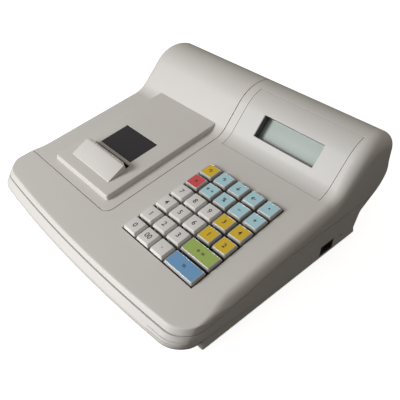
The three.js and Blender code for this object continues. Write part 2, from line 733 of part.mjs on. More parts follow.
const gasketTop = -bezel.thickness - bezel.gap;
const displayGasket = cut(
  facePlate(gasketOuter.width, gasketOuter.height, -screen.depth, gasketTop),
  facePlate(screen.width, screen.height, -screen.depth - overrun, overrun),
);
add('display_gasket', displayGasket, look.black);
const lcdTop = -screen.depth - seat;
add('lcd_panel', facePlate(lcd.width, lcd.height, lcdTop - lcd.thickness, lcdTop), look.lcd);
const boardTop = lcdTop - lcd.thickness - seat;
add('display_board', facePlate(
  displayBoard.width, displayBoard.height, boardTop - displayBoard.thickness, boardTop,
), look.board);

// Keypad, in the plane of the deck
const keypad = new THREE.Group();
keypad.position.set(keypadCentreX, keypadCentreY, deckAt(keypadCentreY));
keypad.rotation.x = deckTilt;
register.add(keypad);
keypad.updateMatrix();

const capWidth = (span) => keyPitch * span - keyCap.gap;
const capDepth = rowPitch - keyCap.gap;
const padWidth = keyPitch * keyColumns - keyCap.gap + openingMargin * 2;
const padDepth = rowPitch * keyRows - keyCap.gap + openingMargin * 2;
const plateTop = -keyCap.skirt - keyTravel - frame.travelClear;
const plateBottom = plateTop - frame.plate;
const stemBottom = plateBottom - frame.stemBelow;
const domeTop = stemBottom - keyTravel - seat;
const sheetTop = domeTop - domes.rise;
const sheetBottom = sheetTop - domes.sheet;
const keyboardTop = sheetBottom - seat;

const inKeypad = (geometry) => geometry.applyMatrix4(keypad.matrix);
const keypadOpening = inKeypad(block(
  -padWidth / 2, padWidth / 2, -padDepth / 2, padDepth / 2, -wall * 3, overrun,
));

const upperHousing = cut(
  cut(aboveSeam, lidRegion(lidGap / 2), ...lidNotches).add(ledge).add(joined(...housingKnuckles)),
  bezelPocket, gasketHole, keypadOpening, ...hingeBores,
);
add('upper_housing', upperHousing, look.casing);

const keySpots = [];
const keyNames = [
  ['0', '00', 'point', 'total', null],
  ['1', '2', '3', 'subtotal', null],
  ['4', '5', '6', 'department_1', 'department_2'],
  ['7', '8', '9', 'department_3', 'department_4'],
  ['clear', 'quantity', 'percent', 'discount', 'plus'],
  ['feed', 'up', 'down', 'left', 'mode'],
];
const keyLooks = [
  ['keyWhite', 'keyWhite', 'keyWhite', 'keyBlue', null],
  ['keyWhite', 'keyWhite', 'keyWhite', 'keyGreen', null],
  ['keyWhite', 'keyWhite', 'keyWhite', 'keyYellow', 'keyYellow'],
  ['keyWhite', 'keyWhite', 'keyWhite', 'keyYellow', 'keyYellow'],
  ['keyRed', 'keyPale', 'keyPale', 'keyPale', 'keyPale'],
  ['keyYellow', 'keyPale', 'keyPale', 'keyPale', 'keyPale'],
];
keyNames.forEach((row, r) => row.forEach((name, c) => {
  if (name === null) {
    return;
  }
  const span = row[c + 1] === null ? 2 : 1;
  const u = (c - (keyColumns - span) / 2) * keyPitch;
  const v = (r - (keyRows - 1) / 2) * rowPitch;
  keySpots.push({ name: `key_${name}`, u, v, span, look: look[keyLooks[r][c]] });
}));

const keySolid = (span) => {
  const width = capWidth(span);
  const ring = (stepIn, radius, level) => (
    roundedRect(width - stepIn * 2, capDepth - stepIn * 2, radius, level)
  );
  const skin = ringSkin([
    ring(keyTopInset + keyCap.side, keyCorner, keyCap.proud - keyCap.crown),
    ring(keyCap.side, keyCorner, -keyCap.skirt),
    ring(0, keyCorner, -keyCap.skirt),
    ring(keyShoulderInset, keyCorner, keyCap.shoulder),
    ring(keyTopInset, keyTopCorner, keyCap.proud),
  ]);
  const half = keyStem / 2;
  const stem = block(-half, half, -half, half, stemBottom, keyCap.proud - keyCap.crown + bite);
  return joined(skin, stem);
};
const keyShapes = { 1: geometryOf(keySolid(1)), 2: geometryOf(keySolid(2)) };
keySpots.forEach((spot) => {
  const mesh = add(spot.name, keyShapes[spot.span], spot.look, keypad);
  mesh.position.set(spot.u, spot.v, 0);
});

const trayWidth = padWidth + frame.rim * 2;
const trayDepth = padDepth + frame.rim * 2;
const tray = block(-trayWidth / 2, trayWidth / 2, -trayDepth / 2, trayDepth / 2, plateBottom, -wall - seat);
const trayHollow = block(-padWidth / 2, padWidth / 2, -padDepth / 2, padDepth / 2, plateTop, overrun);
const stemReach = keyStem / 2 + seat;
const guideHoles = keySpots.map((spot) => block(
  spot.u - stemReach, spot.u + stemReach, spot.v - stemReach, spot.v + stemReach,
  plateBottom - overrun, overrun,
));
const framePosts = mirrored.flatMap((su) => [-1, 0, 1].map((sv) => {
  const half = frame.foot / 2;
  const x = su * (trayWidth / 2 - half);
  const y = sv * (trayDepth / 2 - half);
  return block(x - half, x + half, y - half, y + half, sheetTop + seat, plateBottom + bite);
}));
add('key_frame', cut(joined(tray, ...framePosts), trayHollow, ...guideHoles), look.black, keypad);

const domeSolids = keySpots.map((spot) => {
  const dome = new THREE.CylinderGeometry(domes.top, domes.radius, domes.rise + bite, domes.sides);
  dome.rotateX(Math.PI / 2);
  dome.translate(spot.u, spot.v, sheetTop + (domes.rise - bite) / 2);
  return dome;
});
const sheet = block(-trayWidth / 2, trayWidth / 2, -trayDepth / 2, trayDepth / 2, sheetBottom, sheetTop);
add('contact_sheet', joined(sheet, ...domeSolids), look.rubber, keypad);
const keyboardBoard = block(
  -trayWidth / 2, trayWidth / 2, -trayDepth / 2, trayDepth / 2,
  keyboardTop - keyboardBoardThickness, keyboardTop,
);
add('keyboard_board', keyboardBoard, look.board, keypad);

// Printer mechanism
const cheekIn = chassis.inner / 2;
const cheekOut = cheekIn + chassis.cheek;
const chassisBottom = groundGap + wall + seat;
const gearCentres = gear.toothSize * (gear.platenTeeth + gear.pinionTeeth) / 2 + gear.backlash;
const motorY = platen.y + gearCentres * Math.cos(motor.direction);
const motorZ = platen.z + gearCentres * Math.sin(motor.direction);
const cradleShares = { rearY: 0.75, rearZ: 0.68, frontY: 0.9, floorRear: 1.5 };
const cheekShape = shapeOf([
  [chassis.front, chassisBottom],
  [roll.y - cradle.thickness, chassisBottom],
  [roll.y + cradle.thickness, roll.z - roll.radius - cradle.thickness],
  [roll.y + roll.radius * cradleShares.rearY, roll.z - roll.radius * cradleShares.rearZ],
  [roll.y + roll.radius * cradleShares.rearY, roll.z],
  [roll.y - roll.radius * cradleShares.frontY, roll.z],
  [roll.y - roll.radius * 2, roll.z - roll.radius],
  [platen.y + platen.radius * 2, deckAt(platen.y) - wall * 2],
  [chassis.front, deckAt(chassis.front) - wall * 2],
]);
const cheeks = [-cheekOut, cheekIn].map((left) => crosswise(
  cheekShape, printerCentre + left, printerCentre + left + chassis.cheek,
));
const chassisFloor = block(
  printerCentre - cheekOut, printerCentre + cheekOut,
  chassis.front, roll.y - roll.radius * cradleShares.floorRear,
  chassisBottom, chassisBottom + chassis.floor,
);
const headRear = platen.y - platen.radius - seat;
const headBar = block(
  printerCentre - cheekOut, printerCentre + cheekOut,
  headRear - printHead.thickness - seat - chassis.barDepth, headRear - printHead.thickness - seat,
  printHead.bottom, printHead.bottom + printHead.height - seat,
);
const cradleShape = (() => {
  const inside = roll.radius + seat;
  const outside = inside + cradle.thickness;
  const arc = (radius, from, to) => Array.from({ length: cradle.steps + 1 }, (_, k) => {
    const angle = lerp(from, to, k / cradle.steps);
    return [roll.y + radius * Math.cos(angle), roll.z + radius * Math.sin(angle)];
  });
  return shapeOf([...arc(inside, cradle.to, cradle.from), ...arc(outside, cradle.from, cradle.to)]);
})();
const cradleSolid = crosswise(cradleShape, printerCentre - cheekOut, printerCentre + cheekOut);
const shaftHole = rod(
  platen.shaft + seat, printerCentre - cheekOut - overrun, printerCentre + cheekOut + overrun,
  platen.y, platen.z, smallSteps,
);
const motorHole = rod(
  motor.shaft + seat * 2, printerCentre + cheekIn - overrun, printerCentre + cheekOut + overrun,
  motorY, motorZ, smallSteps,
);
const printerChassis = cut(joined(...cheeks, chassisFloor, headBar, cradleSolid), shaftHole, motorHole);
add('printer_chassis', printerChassis, look.black);
add('print_head', block(
  printerCentre - cheekIn + seat, printerCentre + cheekIn - seat,
  headRear - printHead.thickness, headRear, printHead.bottom, printHead.bottom + printHead.height,
), look.steel);

const gearLeft = cheekOut + seat * 2;
const shaftPast = platen.shaftEnd + gear.width + gearLeft - cheekOut;
const platenAxis = new THREE.Group();
platenAxis.position.set(printerCentre, platen.y, platen.z);
register.add(platenAxis);
const platenProfile = [
  [0, -cheekOut - platen.shaftEnd],
  [platen.shaft, -cheekOut - platen.shaftEnd],
  [platen.shaft, -platen.width / 2],
  [platen.radius, -platen.width / 2],
  [platen.radius, platen.width / 2],
  [platen.shaft, platen.width / 2],
  [platen.shaft, cheekOut + shaftPast],
  [0, cheekOut + shaftPast],
];
add('platen_roller', turned(platenProfile, 0, 0, 0), look.rubber, platenAxis);

const gearShape = (teeth, bore, phase) => {
  const pitchRadius = gear.toothSize * teeth / 2;
  const tip = pitchRadius + gear.toothSize * toothShares.addendum;
  const root = pitchRadius - gear.toothSize * toothShares.dedendum;
  const pitchAngle = Math.PI * 2 / teeth;
  const corners = [
    [root, -toothShares.root], [tip, -toothShares.tip], [tip, toothShares.tip], [root, toothShares.root],
  ];
  const middles = Array.from({ length: teeth }, (_, k) => k * pitchAngle + phase);
  const shape = shapeOf(middles.flatMap((middle) => corners.map(([radius, share]) => (
    [radius * Math.cos(middle + share * pitchAngle), radius * Math.sin(middle + share * pitchAngle)]
  ))));
  if (bore > 0) {
    shape.holes.push(new THREE.Path().absarc(0, 0, bore, 0, Math.PI * 2));
  }
  return shape;
};
const gearSolid = (shape, left) => solid(crosswise(shape, left, left + gear.width));
const platenPhase = motor.direction;
const pinionPhase = motor.direction + Math.PI + Math.PI / gear.pinionTeeth;
const platenGear = gearSolid(gearShape(gear.platenTeeth, gear.bore, platenPhase), gearLeft);
add('platen_gear', platenGear, look.gearWhite, platenAxis);

const motorAxis = new THREE.Group();
motorAxis.position.set(printerCentre, motorY, motorZ);
register.add(motorAxis);
const pinion = joined(
  gearSolid(gearShape(gear.pinionTeeth, 0, pinionPhase), gearLeft),
  rod(motor.shaft, cheekIn - motor.depth / 2, gearLeft + bite, 0, 0, smallSteps),
);
add('motor_pinion', pinion, look.steel, motorAxis);
const motorRight = cheekIn - seat;
const stepperMotor = cut(
  rod(motor.radius, motorRight - motor.depth, motorRight, 0, 0),
  rod(motor.shaft + seat, cheekIn - motor.depth / 2 - seat, cheekIn + overrun, 0, 0, smallSteps),
);
add('stepper_motor', stepperMotor, look.steel, motorAxis);

const paperRoll = cut(
  rod(
    roll.radius, printerCentre - paperWidth / 2, printerCentre + paperWidth / 2,
    roll.y, roll.z, roundSteps * 2,
  ),
  rod(roll.core, printerCentre - paperWidth, printerCentre + paperWidth, roll.y, roll.z),
);
add('paper_roll', paperRoll, look.paper);

// Boards, sockets, screws and feet
add('main_board', block(
  mainBoard.left, mainBoard.right, mainBoard.front, mainBoard.rear,
  mainBoard.height, mainBoard.height + mainBoard.thickness,
), look.board);
const socketMidY = (socket.front + socket.rear) / 2;
const socketMidZ = (socketBottom + socketTop) / 2;
const socketOut = sideX - seat;
const commsSocket = cut(
  block(socketOut - socket.depth, socketOut, socket.front, socket.rear, socketBottom, socketTop),
  block(
    socketOut - socket.cavityDepth, caseWidth,
    socketMidY - socket.cavityWidth / 2, socketMidY + socket.cavityWidth / 2,
    socketMidZ - socket.cavityHeight / 2, socketMidZ + socket.cavityHeight / 2,
  ),
);
add('comms_socket', commsSocket, look.black);
const jackBlock = block(
  jack.x - jack.width / 2, jack.x + jack.width / 2, jackFace - jack.depth, caseDepth,
  jack.z - jack.height / 2, jack.z + jack.height / 2,
);
const jackBore = new THREE.CylinderGeometry(jack.bore, jack.bore, jack.boreDepth * 2, smallSteps);
jackBore.translate(jack.x, jackFace, jack.z);
add('dc_jack', cut(solid(jackBlock).intersect(caseBody(jack.sunk)), jackBore), look.black);

screwSpots.forEach((spot) => {
  const headTop = spot.seatZ - seat;
  const head = post(screw.head, 0, 0, headTop - screw.headHeight, headTop);
  const shank = post(screw.shank, 0, 0, headTop - bite, headTop + screw.reach);
  const mesh = add(`screw_${spot.name}`, joined(head, shank), look.steel);
  mesh.position.set(spot.x, spot.y, 0);
});
footSpots.forEach((spot) => {
  const mesh = add(`foot_${spot.name}`, post(foot.radius, 0, 0, 0, foot.height, roundSteps), look.rubber);
  mesh.position.set(spot.x, spot.y, 0);
});

// The origin is the middle of the footprint, on the table
const footprint = new THREE.Box3().setFromObject(register);
register.position.y = -(footprint.min.y + footprint.max.y) / 2;

export default register;
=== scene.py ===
"""Looks of a ticket register: a small cash register with a ticket printer under a hinged lid.

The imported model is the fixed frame. Each moulded shell is worked out again as a fine surface from the
same sizes as its CAD solid, and every other solid is carried over or replaced by a detailed piece.
Lengths are in metres. The shapes are laid out from the nose of the case (y = 0) and are moved to the
row frame, which is centred on the footprint, when a piece is finished.
"""

import math

import bpy
import numpy as np
from mathutils import Matrix, Vector


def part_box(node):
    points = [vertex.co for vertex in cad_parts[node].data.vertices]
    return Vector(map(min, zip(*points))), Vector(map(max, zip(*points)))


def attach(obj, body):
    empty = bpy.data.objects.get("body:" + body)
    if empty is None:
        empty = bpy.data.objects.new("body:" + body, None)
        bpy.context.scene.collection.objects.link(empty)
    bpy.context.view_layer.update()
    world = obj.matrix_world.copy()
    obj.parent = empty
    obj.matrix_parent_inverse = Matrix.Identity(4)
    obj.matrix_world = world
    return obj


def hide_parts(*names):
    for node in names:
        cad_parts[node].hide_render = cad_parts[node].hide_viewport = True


bl_info = {
    "name": "Ticket register",
    "version": (1, 0, 0),
    "blender": (4, 5, 0),
    "location": "3D View > Sidebar > Ticket register",
    "description": "Builds the looks of a ticket register around its packed model",
    "category": "Object",
}

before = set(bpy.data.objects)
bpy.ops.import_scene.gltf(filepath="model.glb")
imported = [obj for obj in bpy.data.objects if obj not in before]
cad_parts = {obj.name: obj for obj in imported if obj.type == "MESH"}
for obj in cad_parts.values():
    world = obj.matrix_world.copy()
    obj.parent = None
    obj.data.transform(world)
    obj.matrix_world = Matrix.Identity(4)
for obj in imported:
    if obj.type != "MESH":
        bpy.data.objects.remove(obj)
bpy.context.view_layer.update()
PACKED = set(bpy.data.materials.keys())

# Case
WIDTH = 0.2955
DEPTH = 0.2785
HALF = WIDTH / 2
WALL = 0.0026
CLEAR = 0.0003
PAST = 0.005
DECK_TILT = math.radians(9.5)
DECK_AT_NOSE = 0.02925
GROUND = 0.002
LIP_HEIGHT = 0.012
LIP_DEPTH = 0.032
LIP_SHELF = 0.003
FINE_ARC = 0.0002
NOSE_TILT = math.radians(52.5)
NOSE_TOP = 0.0094
BASE_REAR = DEPTH - 0.0407
BASE_LEAN = math.radians(14)
KINK_HEIGHT = 0.0255
UNDERSIDE_TILT = math.radians(33)
HUMP_TILT = math.radians(50)
HUMP_FOOT = DEPTH - 0.0824
CROWN = DEPTH - 0.0397
CROWN_BACK_TILT = math.radians(20)
FRONT_BOW = 0.0075
CORNER_RADIUS = 0.022
PULL_FROM = 0.020
PULL_TO = 0.075
EDGE_RADIUS = {"nose": 0.0032, "under": 0.0065, "deck": 0.0096, "hump": 0.013, "bottom": 0.0013}
EDGE_RAMP = 0.060
DECK_RAMP = 0.020
HUMP_RAMP = (0.058, 0.093)
BOTTOM_RAMP = 0.006

# Radii of the side profile's corners, from the lip's underside round the back and down to the lip
PROFILE_RADII = (0.0015, 0.0015, 0.004, 0.036, 0.018, 0.0412, 0.025, 0.0035, 0.005, 0.002)

# How finely the case's skin is divided: its arcs and straights seen from the side, and its stations
# across the middle, over each corner of the plan with both ends counted, and over each edge
ARC_STEP = math.radians(3.5)
LONGEST_SPAN = 0.006
MIDDLE_STATIONS = 27
CORNER_STATIONS = 11
EDGE_STATIONS = 15
SMALLEST_RADIUS = 0.0006
SMALLEST_ROUNDING = 0.0003

# Seam and lid
SEAM_BELOW_DECK = 0.010
SEAM_FRONT = 0.0266
SEAM_REAR = 0.0385
LID_FRONT = 0.048
LID_RIGHT = -0.0033
LID_CORNER = 0.009
LID_SKIRT = 0.0043
HINGE_HEIGHT = 0.070
HINGE_RADIUS = 0.00247
HINGE_BORE = 0.0013
KNUCKLE = 0.009
KNUCKLE_GAP = 0.0004
HINGE_X = (-HALF + 0.026, LID_RIGHT - 0.02645)
LID_LEDGE = 0.004
LEDGE_THICKNESS = 0.0018
LEDGE_REACH = 0.007

# Platform, hood, window and bar of the lid
HOLLOW_CORNER = 0.001
PLATFORM = {"left": -0.112, "right": -0.0158, "front": 0.058, "rear": 0.212, "rise": 0.005, "taper": 0.001}
PRINTER_X = -0.06475
HOOD = {"left": -0.098, "right": -0.0315, "front": 0.0715, "rear": 0.0934, "rise": 0.0074, "lip": 0.0006,
        "wall": 0.002}
TEAR_BAR = {"thickness": 0.0008, "clear": 0.0003}
SLOT_DEPTH = 0.0055
SLOT_MARGIN = 0.003
PANE = {"width": 0.053, "depth": 0.0362, "front": 0.1032, "thickness": 0.001, "ledge": 0.0016,
        "sunk": 0.0004}

# Display, keypad and fittings
SCREEN_X = 0.0694
SCREEN_Y = DEPTH - 0.0649
BEZEL = {"left": 0.00765, "right": 0.13115, "front": 0.1876, "rear": 0.2415, "thickness": 0.0013,
         "gap": 0.0005}
SCREEN = {"width": 0.0734, "height": 0.0236, "depth": 0.0096, "wall": 0.0011}
KEY_PITCH = 0.019
ROW_PITCH = 0.01858
KEY_ROWS = 6
KEY_COLUMNS = 5
KEYPAD_Y = 0.1028
KEY_GAP = 0.0015
OPENING_MARGIN = 0.0008
KEY = {"proud": 0.0035, "shoulder": 0.0006, "skirt": 0.005, "crown": 0.0016, "side": 0.0013, "stem": 0.005,
       "stem_bottom": -0.0120}
BOARD = {"left": 0.004, "right": 0.135, "front": 0.150, "rear": 0.232, "height": 0.0177, "post": 0.003}
SOCKET = {"front": 0.1808, "rear": 0.2002, "margin": 0.0003, "mouth_depth": 0.0107, "mouth_height": 0.0066}
SIDE_HOLE = {"y": 0.2119, "z": 0.0131, "radius": 0.0018}
JACK = {"x": 0.096, "z": 0.0126, "width": 0.0094, "height": 0.0094, "depth": 0.012}
FOOT = {"radius": 0.008, "height": 0.0032, "x": 0.118, "front": 0.048, "rear": 0.218}
SCREW = {"x": 0.141, "front": 0.040, "rear": 0.214, "head": 0.003, "head_height": 0.0022, "shank": 0.0015,
         "reach": 0.010, "boss": 0.0044, "drop": 0.004, "rear_top": 0.052}
PARTITION = {"thickness": 0.002, "right": 0.0001, "front": 0.0445}
PLATEN = {"radius": 0.006, "width": 0.059, "shaft": 0.002}
ROLL = {"radius": 0.026, "core": 0.0065, "width": 0.0575}
BITE = 0.0001
FAR = WIDTH

# Fine lines of the base: two grooves round its right front corner and one parting line on its right side
GROOVE_LEVELS = (0.0219, 0.0198)
GROOVE = {"half": 0.00018, "depth": 0.00035, "left": 0.112, "rear": 0.030}
PARTING = {"front": 0.1666, "rear": 0.1670, "low": 0.0038, "high": 0.019, "depth": 0.0003}

# A key cap: steps round each of its corners, its material slots, of which the first is for its walls and the
# last for a painted highlight on the rear corners of coloured keys, the first row of faces of its upper
# wall, and the places in a row of the faces at its rear corners, which carry that painted highlight
CORNER_STEPS = 5
KEY_SLOTS = 4
TOP_SLOT, LEGEND_SLOT, PAINTED_GLINT_SLOT = 1, 2, 3
KEY_WALL_ROW = 4
REAR_CORNERS = np.add.outer((CORNER_STEPS + 1) * np.array([1, 2]), np.arange(CORNER_STEPS)).ravel()

# Heights above the deck between which a clear cap turns from painted shade low on its walls to its rim
# colour, and its rear corners from the clear colour to a painted highlight
CAP_DARK_BELOW = 0.0018
CAP_LIGHT_ABOVE = 0.0033

# Height of the printed signs on coloured keys as a share of the digits', and the font's own digit height
SIGN_SHARE = 0.86
DIGIT_SHARE = 0.7

# What the lamps are aimed at, and the camera's directions to its right and forward
AIM = (0, 0, 0.05)
CAMERA_RIGHT = (0.672103, 0.740376, 0.011033)
CAMERA_FORWARD = (-0.565657, 0.522996, -0.637579)

# Where the nose's y = 0 lies in the row frame, from the middle of the front left foot
FOOT_LOW, FOOT_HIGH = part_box("foot_front_left")
SHIFT = (FOOT_LOW.y + FOOT_HIGH.y) / 2 - FOOT["front"]


def arc(points, start=0, end=90):
    """Angles from start to end in degrees, made radians."""
    return np.radians(np.linspace(start, end, points))


def spread(counts):
    """Each index repeated as often as its count says, and the place within each run, from 0."""
    which = np.repeat(np.arange(len(counts)), counts)
    return which, np.arange(counts.sum()) - np.repeat(np.cumsum(counts) - counts, counts)


def deck_height(y):
    """Height of the deck's plane at y: the height at the nose plus y times the slope."""
    return DECK_AT_NOSE + y * math.tan(DECK_TILT)


def case_corners():
    """Corners of the case's side profile, worked out from the tilts of its faces."""
    kink_y = BASE_REAR + (KINK_HEIGHT - GROUND) * math.tan(BASE_LEAN)
    crown_z = deck_height(HUMP_FOOT) + (CROWN - HUMP_FOOT) * math.tan(HUMP_TILT)
    back_z = crown_z - (DEPTH - CROWN) * math.tan(CROWN_BACK_TILT)
    under_z = KINK_HEIGHT + (DEPTH - kink_y) * math.tan(UNDERSIDE_TILT)
    lip_y = NOSE_TOP - (deck_height(NOSE_TOP) - LIP_HEIGHT) / math.tan(NOSE_TILT) + FINE_ARC
    return np.array([
        (LIP_DEPTH, GROUND), (BASE_REAR, GROUND), (kink_y, KINK_HEIGHT), (DEPTH, under_z), (DEPTH, back_z),
        (CROWN, crown_z), (HUMP_FOOT, deck_height(HUMP_FOOT)), (NOSE_TOP, deck_height(NOSE_TOP)),
        (lip_y, LIP_HEIGHT), (LIP_DEPTH, LIP_HEIGHT),
    ])


def side_profile(inset):
    """The case's outline from the side, stepped in by inset, as points with outward normals.

    Each corner moves along the sum of its two sides' inward normals, over one plus their dot product,
    times the inset. It is then drawn as an arc of its radius, and long straight sides are divided.
    """
    points = case_corners()
    along = np.roll(points, -1, 0) - points
    along /= np.linalg.norm(along, axis=1)[:, None]
    after = np.stack([-along[:, 1], along[:, 0]], 1)
    before = np.roll(after, 1, 0)
    turn = np.sign(before[:, 0] * after[:, 1] - before[:, 1] * after[:, 0])
    share = 1 / (1 + (before * after).sum(1))
    points = points + (before + after) * (share * inset)[:, None]
    radii = np.maximum(np.array(PROFILE_RADII) - turn * inset, SMALLEST_RADIUS)
    centres = points + (before + after) * (turn * radii * share)[:, None]
    start, end = [np.arctan2(-side[:, 1] * turn, -side[:, 0] * turn) for side in (before, after)]
    sweep = (end - start + math.pi) % (2 * math.pi) - math.pi
    counts = np.maximum(np.ceil(np.abs(sweep) / ARC_STEP).astype(int), 2) + 1
    which, place = spread(counts)
    angle = start[which] + sweep[which] * place / (counts[which] - 1)
    normal = np.stack([np.cos(angle), np.sin(angle)], 1)
    outline = centres[which] + normal * radii[which][:, None]
    normal *= turn[which][:, None]
    following = np.roll(outline, -1, 0)
    length = np.linalg.norm(following - outline, axis=1)
    parts = np.maximum(np.ceil(length / LONGEST_SPAN).astype(int), 1)
    which, place = spread(parts)
    share = (place / parts[which])[:, None]
    return outline[which] * (1 - share) + following[which] * share, normal[which]


def ramp(value, low, high):
    """Smooth step: 0 below low, 1 above high, and 3 t squared less 2 t cubed in between."""
    t = np.clip((value - low) / (high - low), 0, 1)
    return t * t * (3 - 2 * t)


def case_grid(inset):
    """Points of the case's skin, stepped in by inset: one row for each station across, one column for
    each point of the side profile.

    Across the middle the profile runs straight. Near the sides it follows a quarter circle of the local
    edge radius, inwards by the radius times one less the cosine. The front is pulled back by a bow, the
    square of x over the half width, and by a quarter circle at the plan's corners; the pull fades
    towards the back and keeps to the deck's slope.
    """
    profile, normal = side_profile(inset)
    mids = np.linspace(-1, 1, MIDDLE_STATIONS)
    shares = np.linspace(0, 1, CORNER_STATIONS)[1:-1]
    turns = arc(EDGE_STATIONS)
    zero_mid, zero_corner = np.zeros(len(mids)), np.zeros(len(shares))
    edge = np.ones(len(turns))
    place = np.concatenate([-edge, -np.ones(len(shares)), mids, np.ones(len(shares)), edge])
    corner = np.concatenate([-edge, -shares[::-1], zero_mid, shares, edge])
    turned = np.concatenate([turns[::-1], zero_corner, zero_mid, zero_corner, turns])
    half, radius = HALF - inset, CORNER_RADIUS - inset
    top = deck_height(profile[:, 0])
    upper = EDGE_RADIUS["under"] + (EDGE_RADIUS["deck"] - EDGE_RADIUS["under"]) * ramp(
        profile[:, 1], top - DECK_RAMP, top)
    deck = EDGE_RADIUS["nose"] + (upper - EDGE_RADIUS["nose"]) * ramp(
        profile[:, 0], NOSE_TOP, NOSE_TOP + EDGE_RAMP)
    hump = deck + (EDGE_RADIUS["hump"] - EDGE_RADIUS["deck"]) * ramp(profile[:, 1], *HUMP_RAMP)
    low = ramp(profile[:, 1], GROUND, GROUND + BOTTOM_RAMP)
    rounding = np.maximum(EDGE_RADIUS["bottom"] * (1 - low) + hump * low - inset, SMALLEST_ROUNDING)
    x = (place * (half - radius))[:, None] + corner[:, None] * (radius - rounding)[None]
    x = x + (np.sign(place) * np.sin(turned))[:, None] * rounding[None]
    step_in = (1 - np.cos(turned))[:, None] * rounding[None]
    y = profile[:, 0][None] - normal[:, 0][None] * step_in
    z = profile[:, 1][None] - normal[:, 1][None] * step_in
    past = np.clip((np.abs(x) - (half - radius)) / radius, 0, 1)
    bowed = FRONT_BOW * (x / half) ** 2 + radius * (1 - np.sqrt(1 - past * past))
    free = bowed * (1 - ramp(y, PULL_FROM, PULL_TO))
    short = np.minimum(free, np.maximum(LIP_DEPTH - LIP_SHELF - y, 0))
    pull = np.where(profile[:, 1][None] < LIP_HEIGHT + inset + CLEAR, short, free)
    rise = np.clip((z - LIP_HEIGHT) / (deck_height(NOSE_TOP) - LIP_HEIGHT), 0, 1)
    return np.stack([x, y + pull, z + pull * math.tan(DECK_TILT) * rise], -1)


# Solids


def solid(name, points, faces):
    """A mesh object of these points and faces, in the scene."""
    mesh = bpy.data.meshes.new(name)
    mesh.from_pydata(np.asarray(points).reshape(-1, 3).tolist(), [], faces)
    piece = bpy.data.objects.new(name, mesh)
    bpy.context.scene.collection.objects.link(piece)
    return piece


def skin(name, grid, closed_rows=False):
    """A closed surface over a grid of rings. Its first and last ring are filled with one face each,
    unless the rows close on each other."""
    rows, columns = grid.shape[:2]
    ring = np.arange(columns)
    following = (ring + 1) % columns
    start = (np.arange(rows if closed_rows else rows - 1) * columns)[:, None]
    after = (start + columns) % (rows * columns)
    quads = np.stack([start + ring, start + following, after + following, after + ring], -1)
    faces = quads.reshape(-1, 4).tolist()
    if not closed_rows:
        faces.append(ring[::-1].tolist())
        faces.append(((rows - 1) * columns + ring).tolist())
    return solid(name, grid, faces)


def case_solid(inset):
    """The whole case as one closed solid, stepped in by inset."""
    return skin("case", case_grid(inset))


def block(low, high):
    """An upright box between two corners."""
    (left, front, bottom), (right, rear, top) = low, high
    return prism("z", [(left, front), (right, front), (right, rear), (left, rear)], bottom, top)


def slab(wide, deep, low, high):
    """An upright box about the z axis."""
    return block((-wide / 2, -deep / 2, low), (wide / 2, deep / 2, high))


def prism(axis, outline, low, high):
    """An outline drawn straight along an axis and given in the next two: (y, z) along x, (z, x) along y
    and (x, y) along z."""
    outline = np.array(outline, float)
    area = outline[:, 0] * np.roll(outline[:, 1], -1) - np.roll(outline[:, 0], -1) * outline[:, 1]
    if area.sum() < 0:
        outline = outline[::-1]
    rings = [np.column_stack([np.full(len(outline), level), outline]) for level in (low, high)]
    return skin("prism", np.roll(np.array(rings), "xyz".index(axis), axis=-1))


def turned(profile, steps, ring=False):
    """A closed surface of revolution about the x axis: profile gives (along, radius), from axis to axis or,
    for a ring, round its closed section."""
    along, radius = np.array(profile, float).T[:, :, None]
    angle = np.arange(steps) * 2 * math.pi / steps
    grid = np.broadcast_arrays(along, radius * np.cos(angle), radius * np.sin(angle))
    return skin("turned", np.stack(grid, -1), closed_rows=ring)


def upright(piece):
    """The piece with its x axis turned up to z."""
    piece.data.transform(Matrix.Rotation(-math.pi / 2, 4, "Y"))
    return piece


def rod(radius, left, right, y, z, steps=32):
    """A rod along x."""
    return moved(turned([(left, radius), (right, radius)], steps), (0, y, z))


def post(radius, x, y, low, high, steps=32):
    """A round post along z."""
    return moved(upright(turned([(low, radius), (high, radius)], steps)), (x, y, 0))


def moved(piece, by):
    """The same piece with its mesh moved."""
    piece.data.transform(Matrix.Translation(by))
    return piece


def rounded_rectangle(width, height, radius, level, steps=6):
    """A ring of points round a rectangle with round corners: each corner's middle plus the radius times
    the cosine and sine of an angle that runs over a quarter turn."""
    angle = arc(steps + 1)[None] + np.radians([[-90], [0], [90], [180]])
    side_x = np.array([1, 1, -1, -1])[:, None] * (width / 2 - radius)
    side_y = np.array([-1, 1, 1, -1])[:, None] * (height / 2 - radius)
    x = side_x + radius * np.cos(angle)
    y = side_y + radius * np.sin(angle)
    return np.stack([x.ravel(), y.ravel(), np.full(x.size, level)], -1)


def remeshed(piece, mesh):
    """The piece with this mesh in place of its old one."""
    old, piece.data = piece.data, mesh
    bpy.data.meshes.remove(old)
    return piece


def applied(piece, kind, **settings):
    """The piece with a modifier of this kind made part of its mesh."""
    modifier = piece.modifiers.new(kind.lower(), kind)
    for name, value in settings.items():
        setattr(modifier, name, value)
    mesh = evaluated_mesh(piece)
    piece.modifiers.clear()
    return remeshed(piece, mesh)


def evaluated_mesh(piece):
    """A new mesh of what the piece shows."""
    return bpy.data.meshes.new_from_object(piece.evaluated_get(bpy.context.evaluated_depsgraph_get()))


def combined(target, how, *tools):
    """The target after one Boolean operation with each tool, which is used up."""
    for tool in tools:
        applied(target, "BOOLEAN", operation=how, object=tool, solver="MANIFOLD")
        if len(target.data.polygons) < 4:
            raise RuntimeError(f"{target.name}: nothing is left after {how.lower()}")
        mesh = tool.data
        bpy.data.objects.remove(tool)
        bpy.data.meshes.remove(mesh)
    return target


def cut(target, *tools):
    """The target less each tool."""
    return combined(target, "DIFFERENCE", *tools)


def joined(target, *tools):
    """The target with each tool added."""
    return combined(target, "UNION", *tools)


def common(target, tool):
    """What the target and the tool share."""
    return combined(target, "INTERSECT", tool)


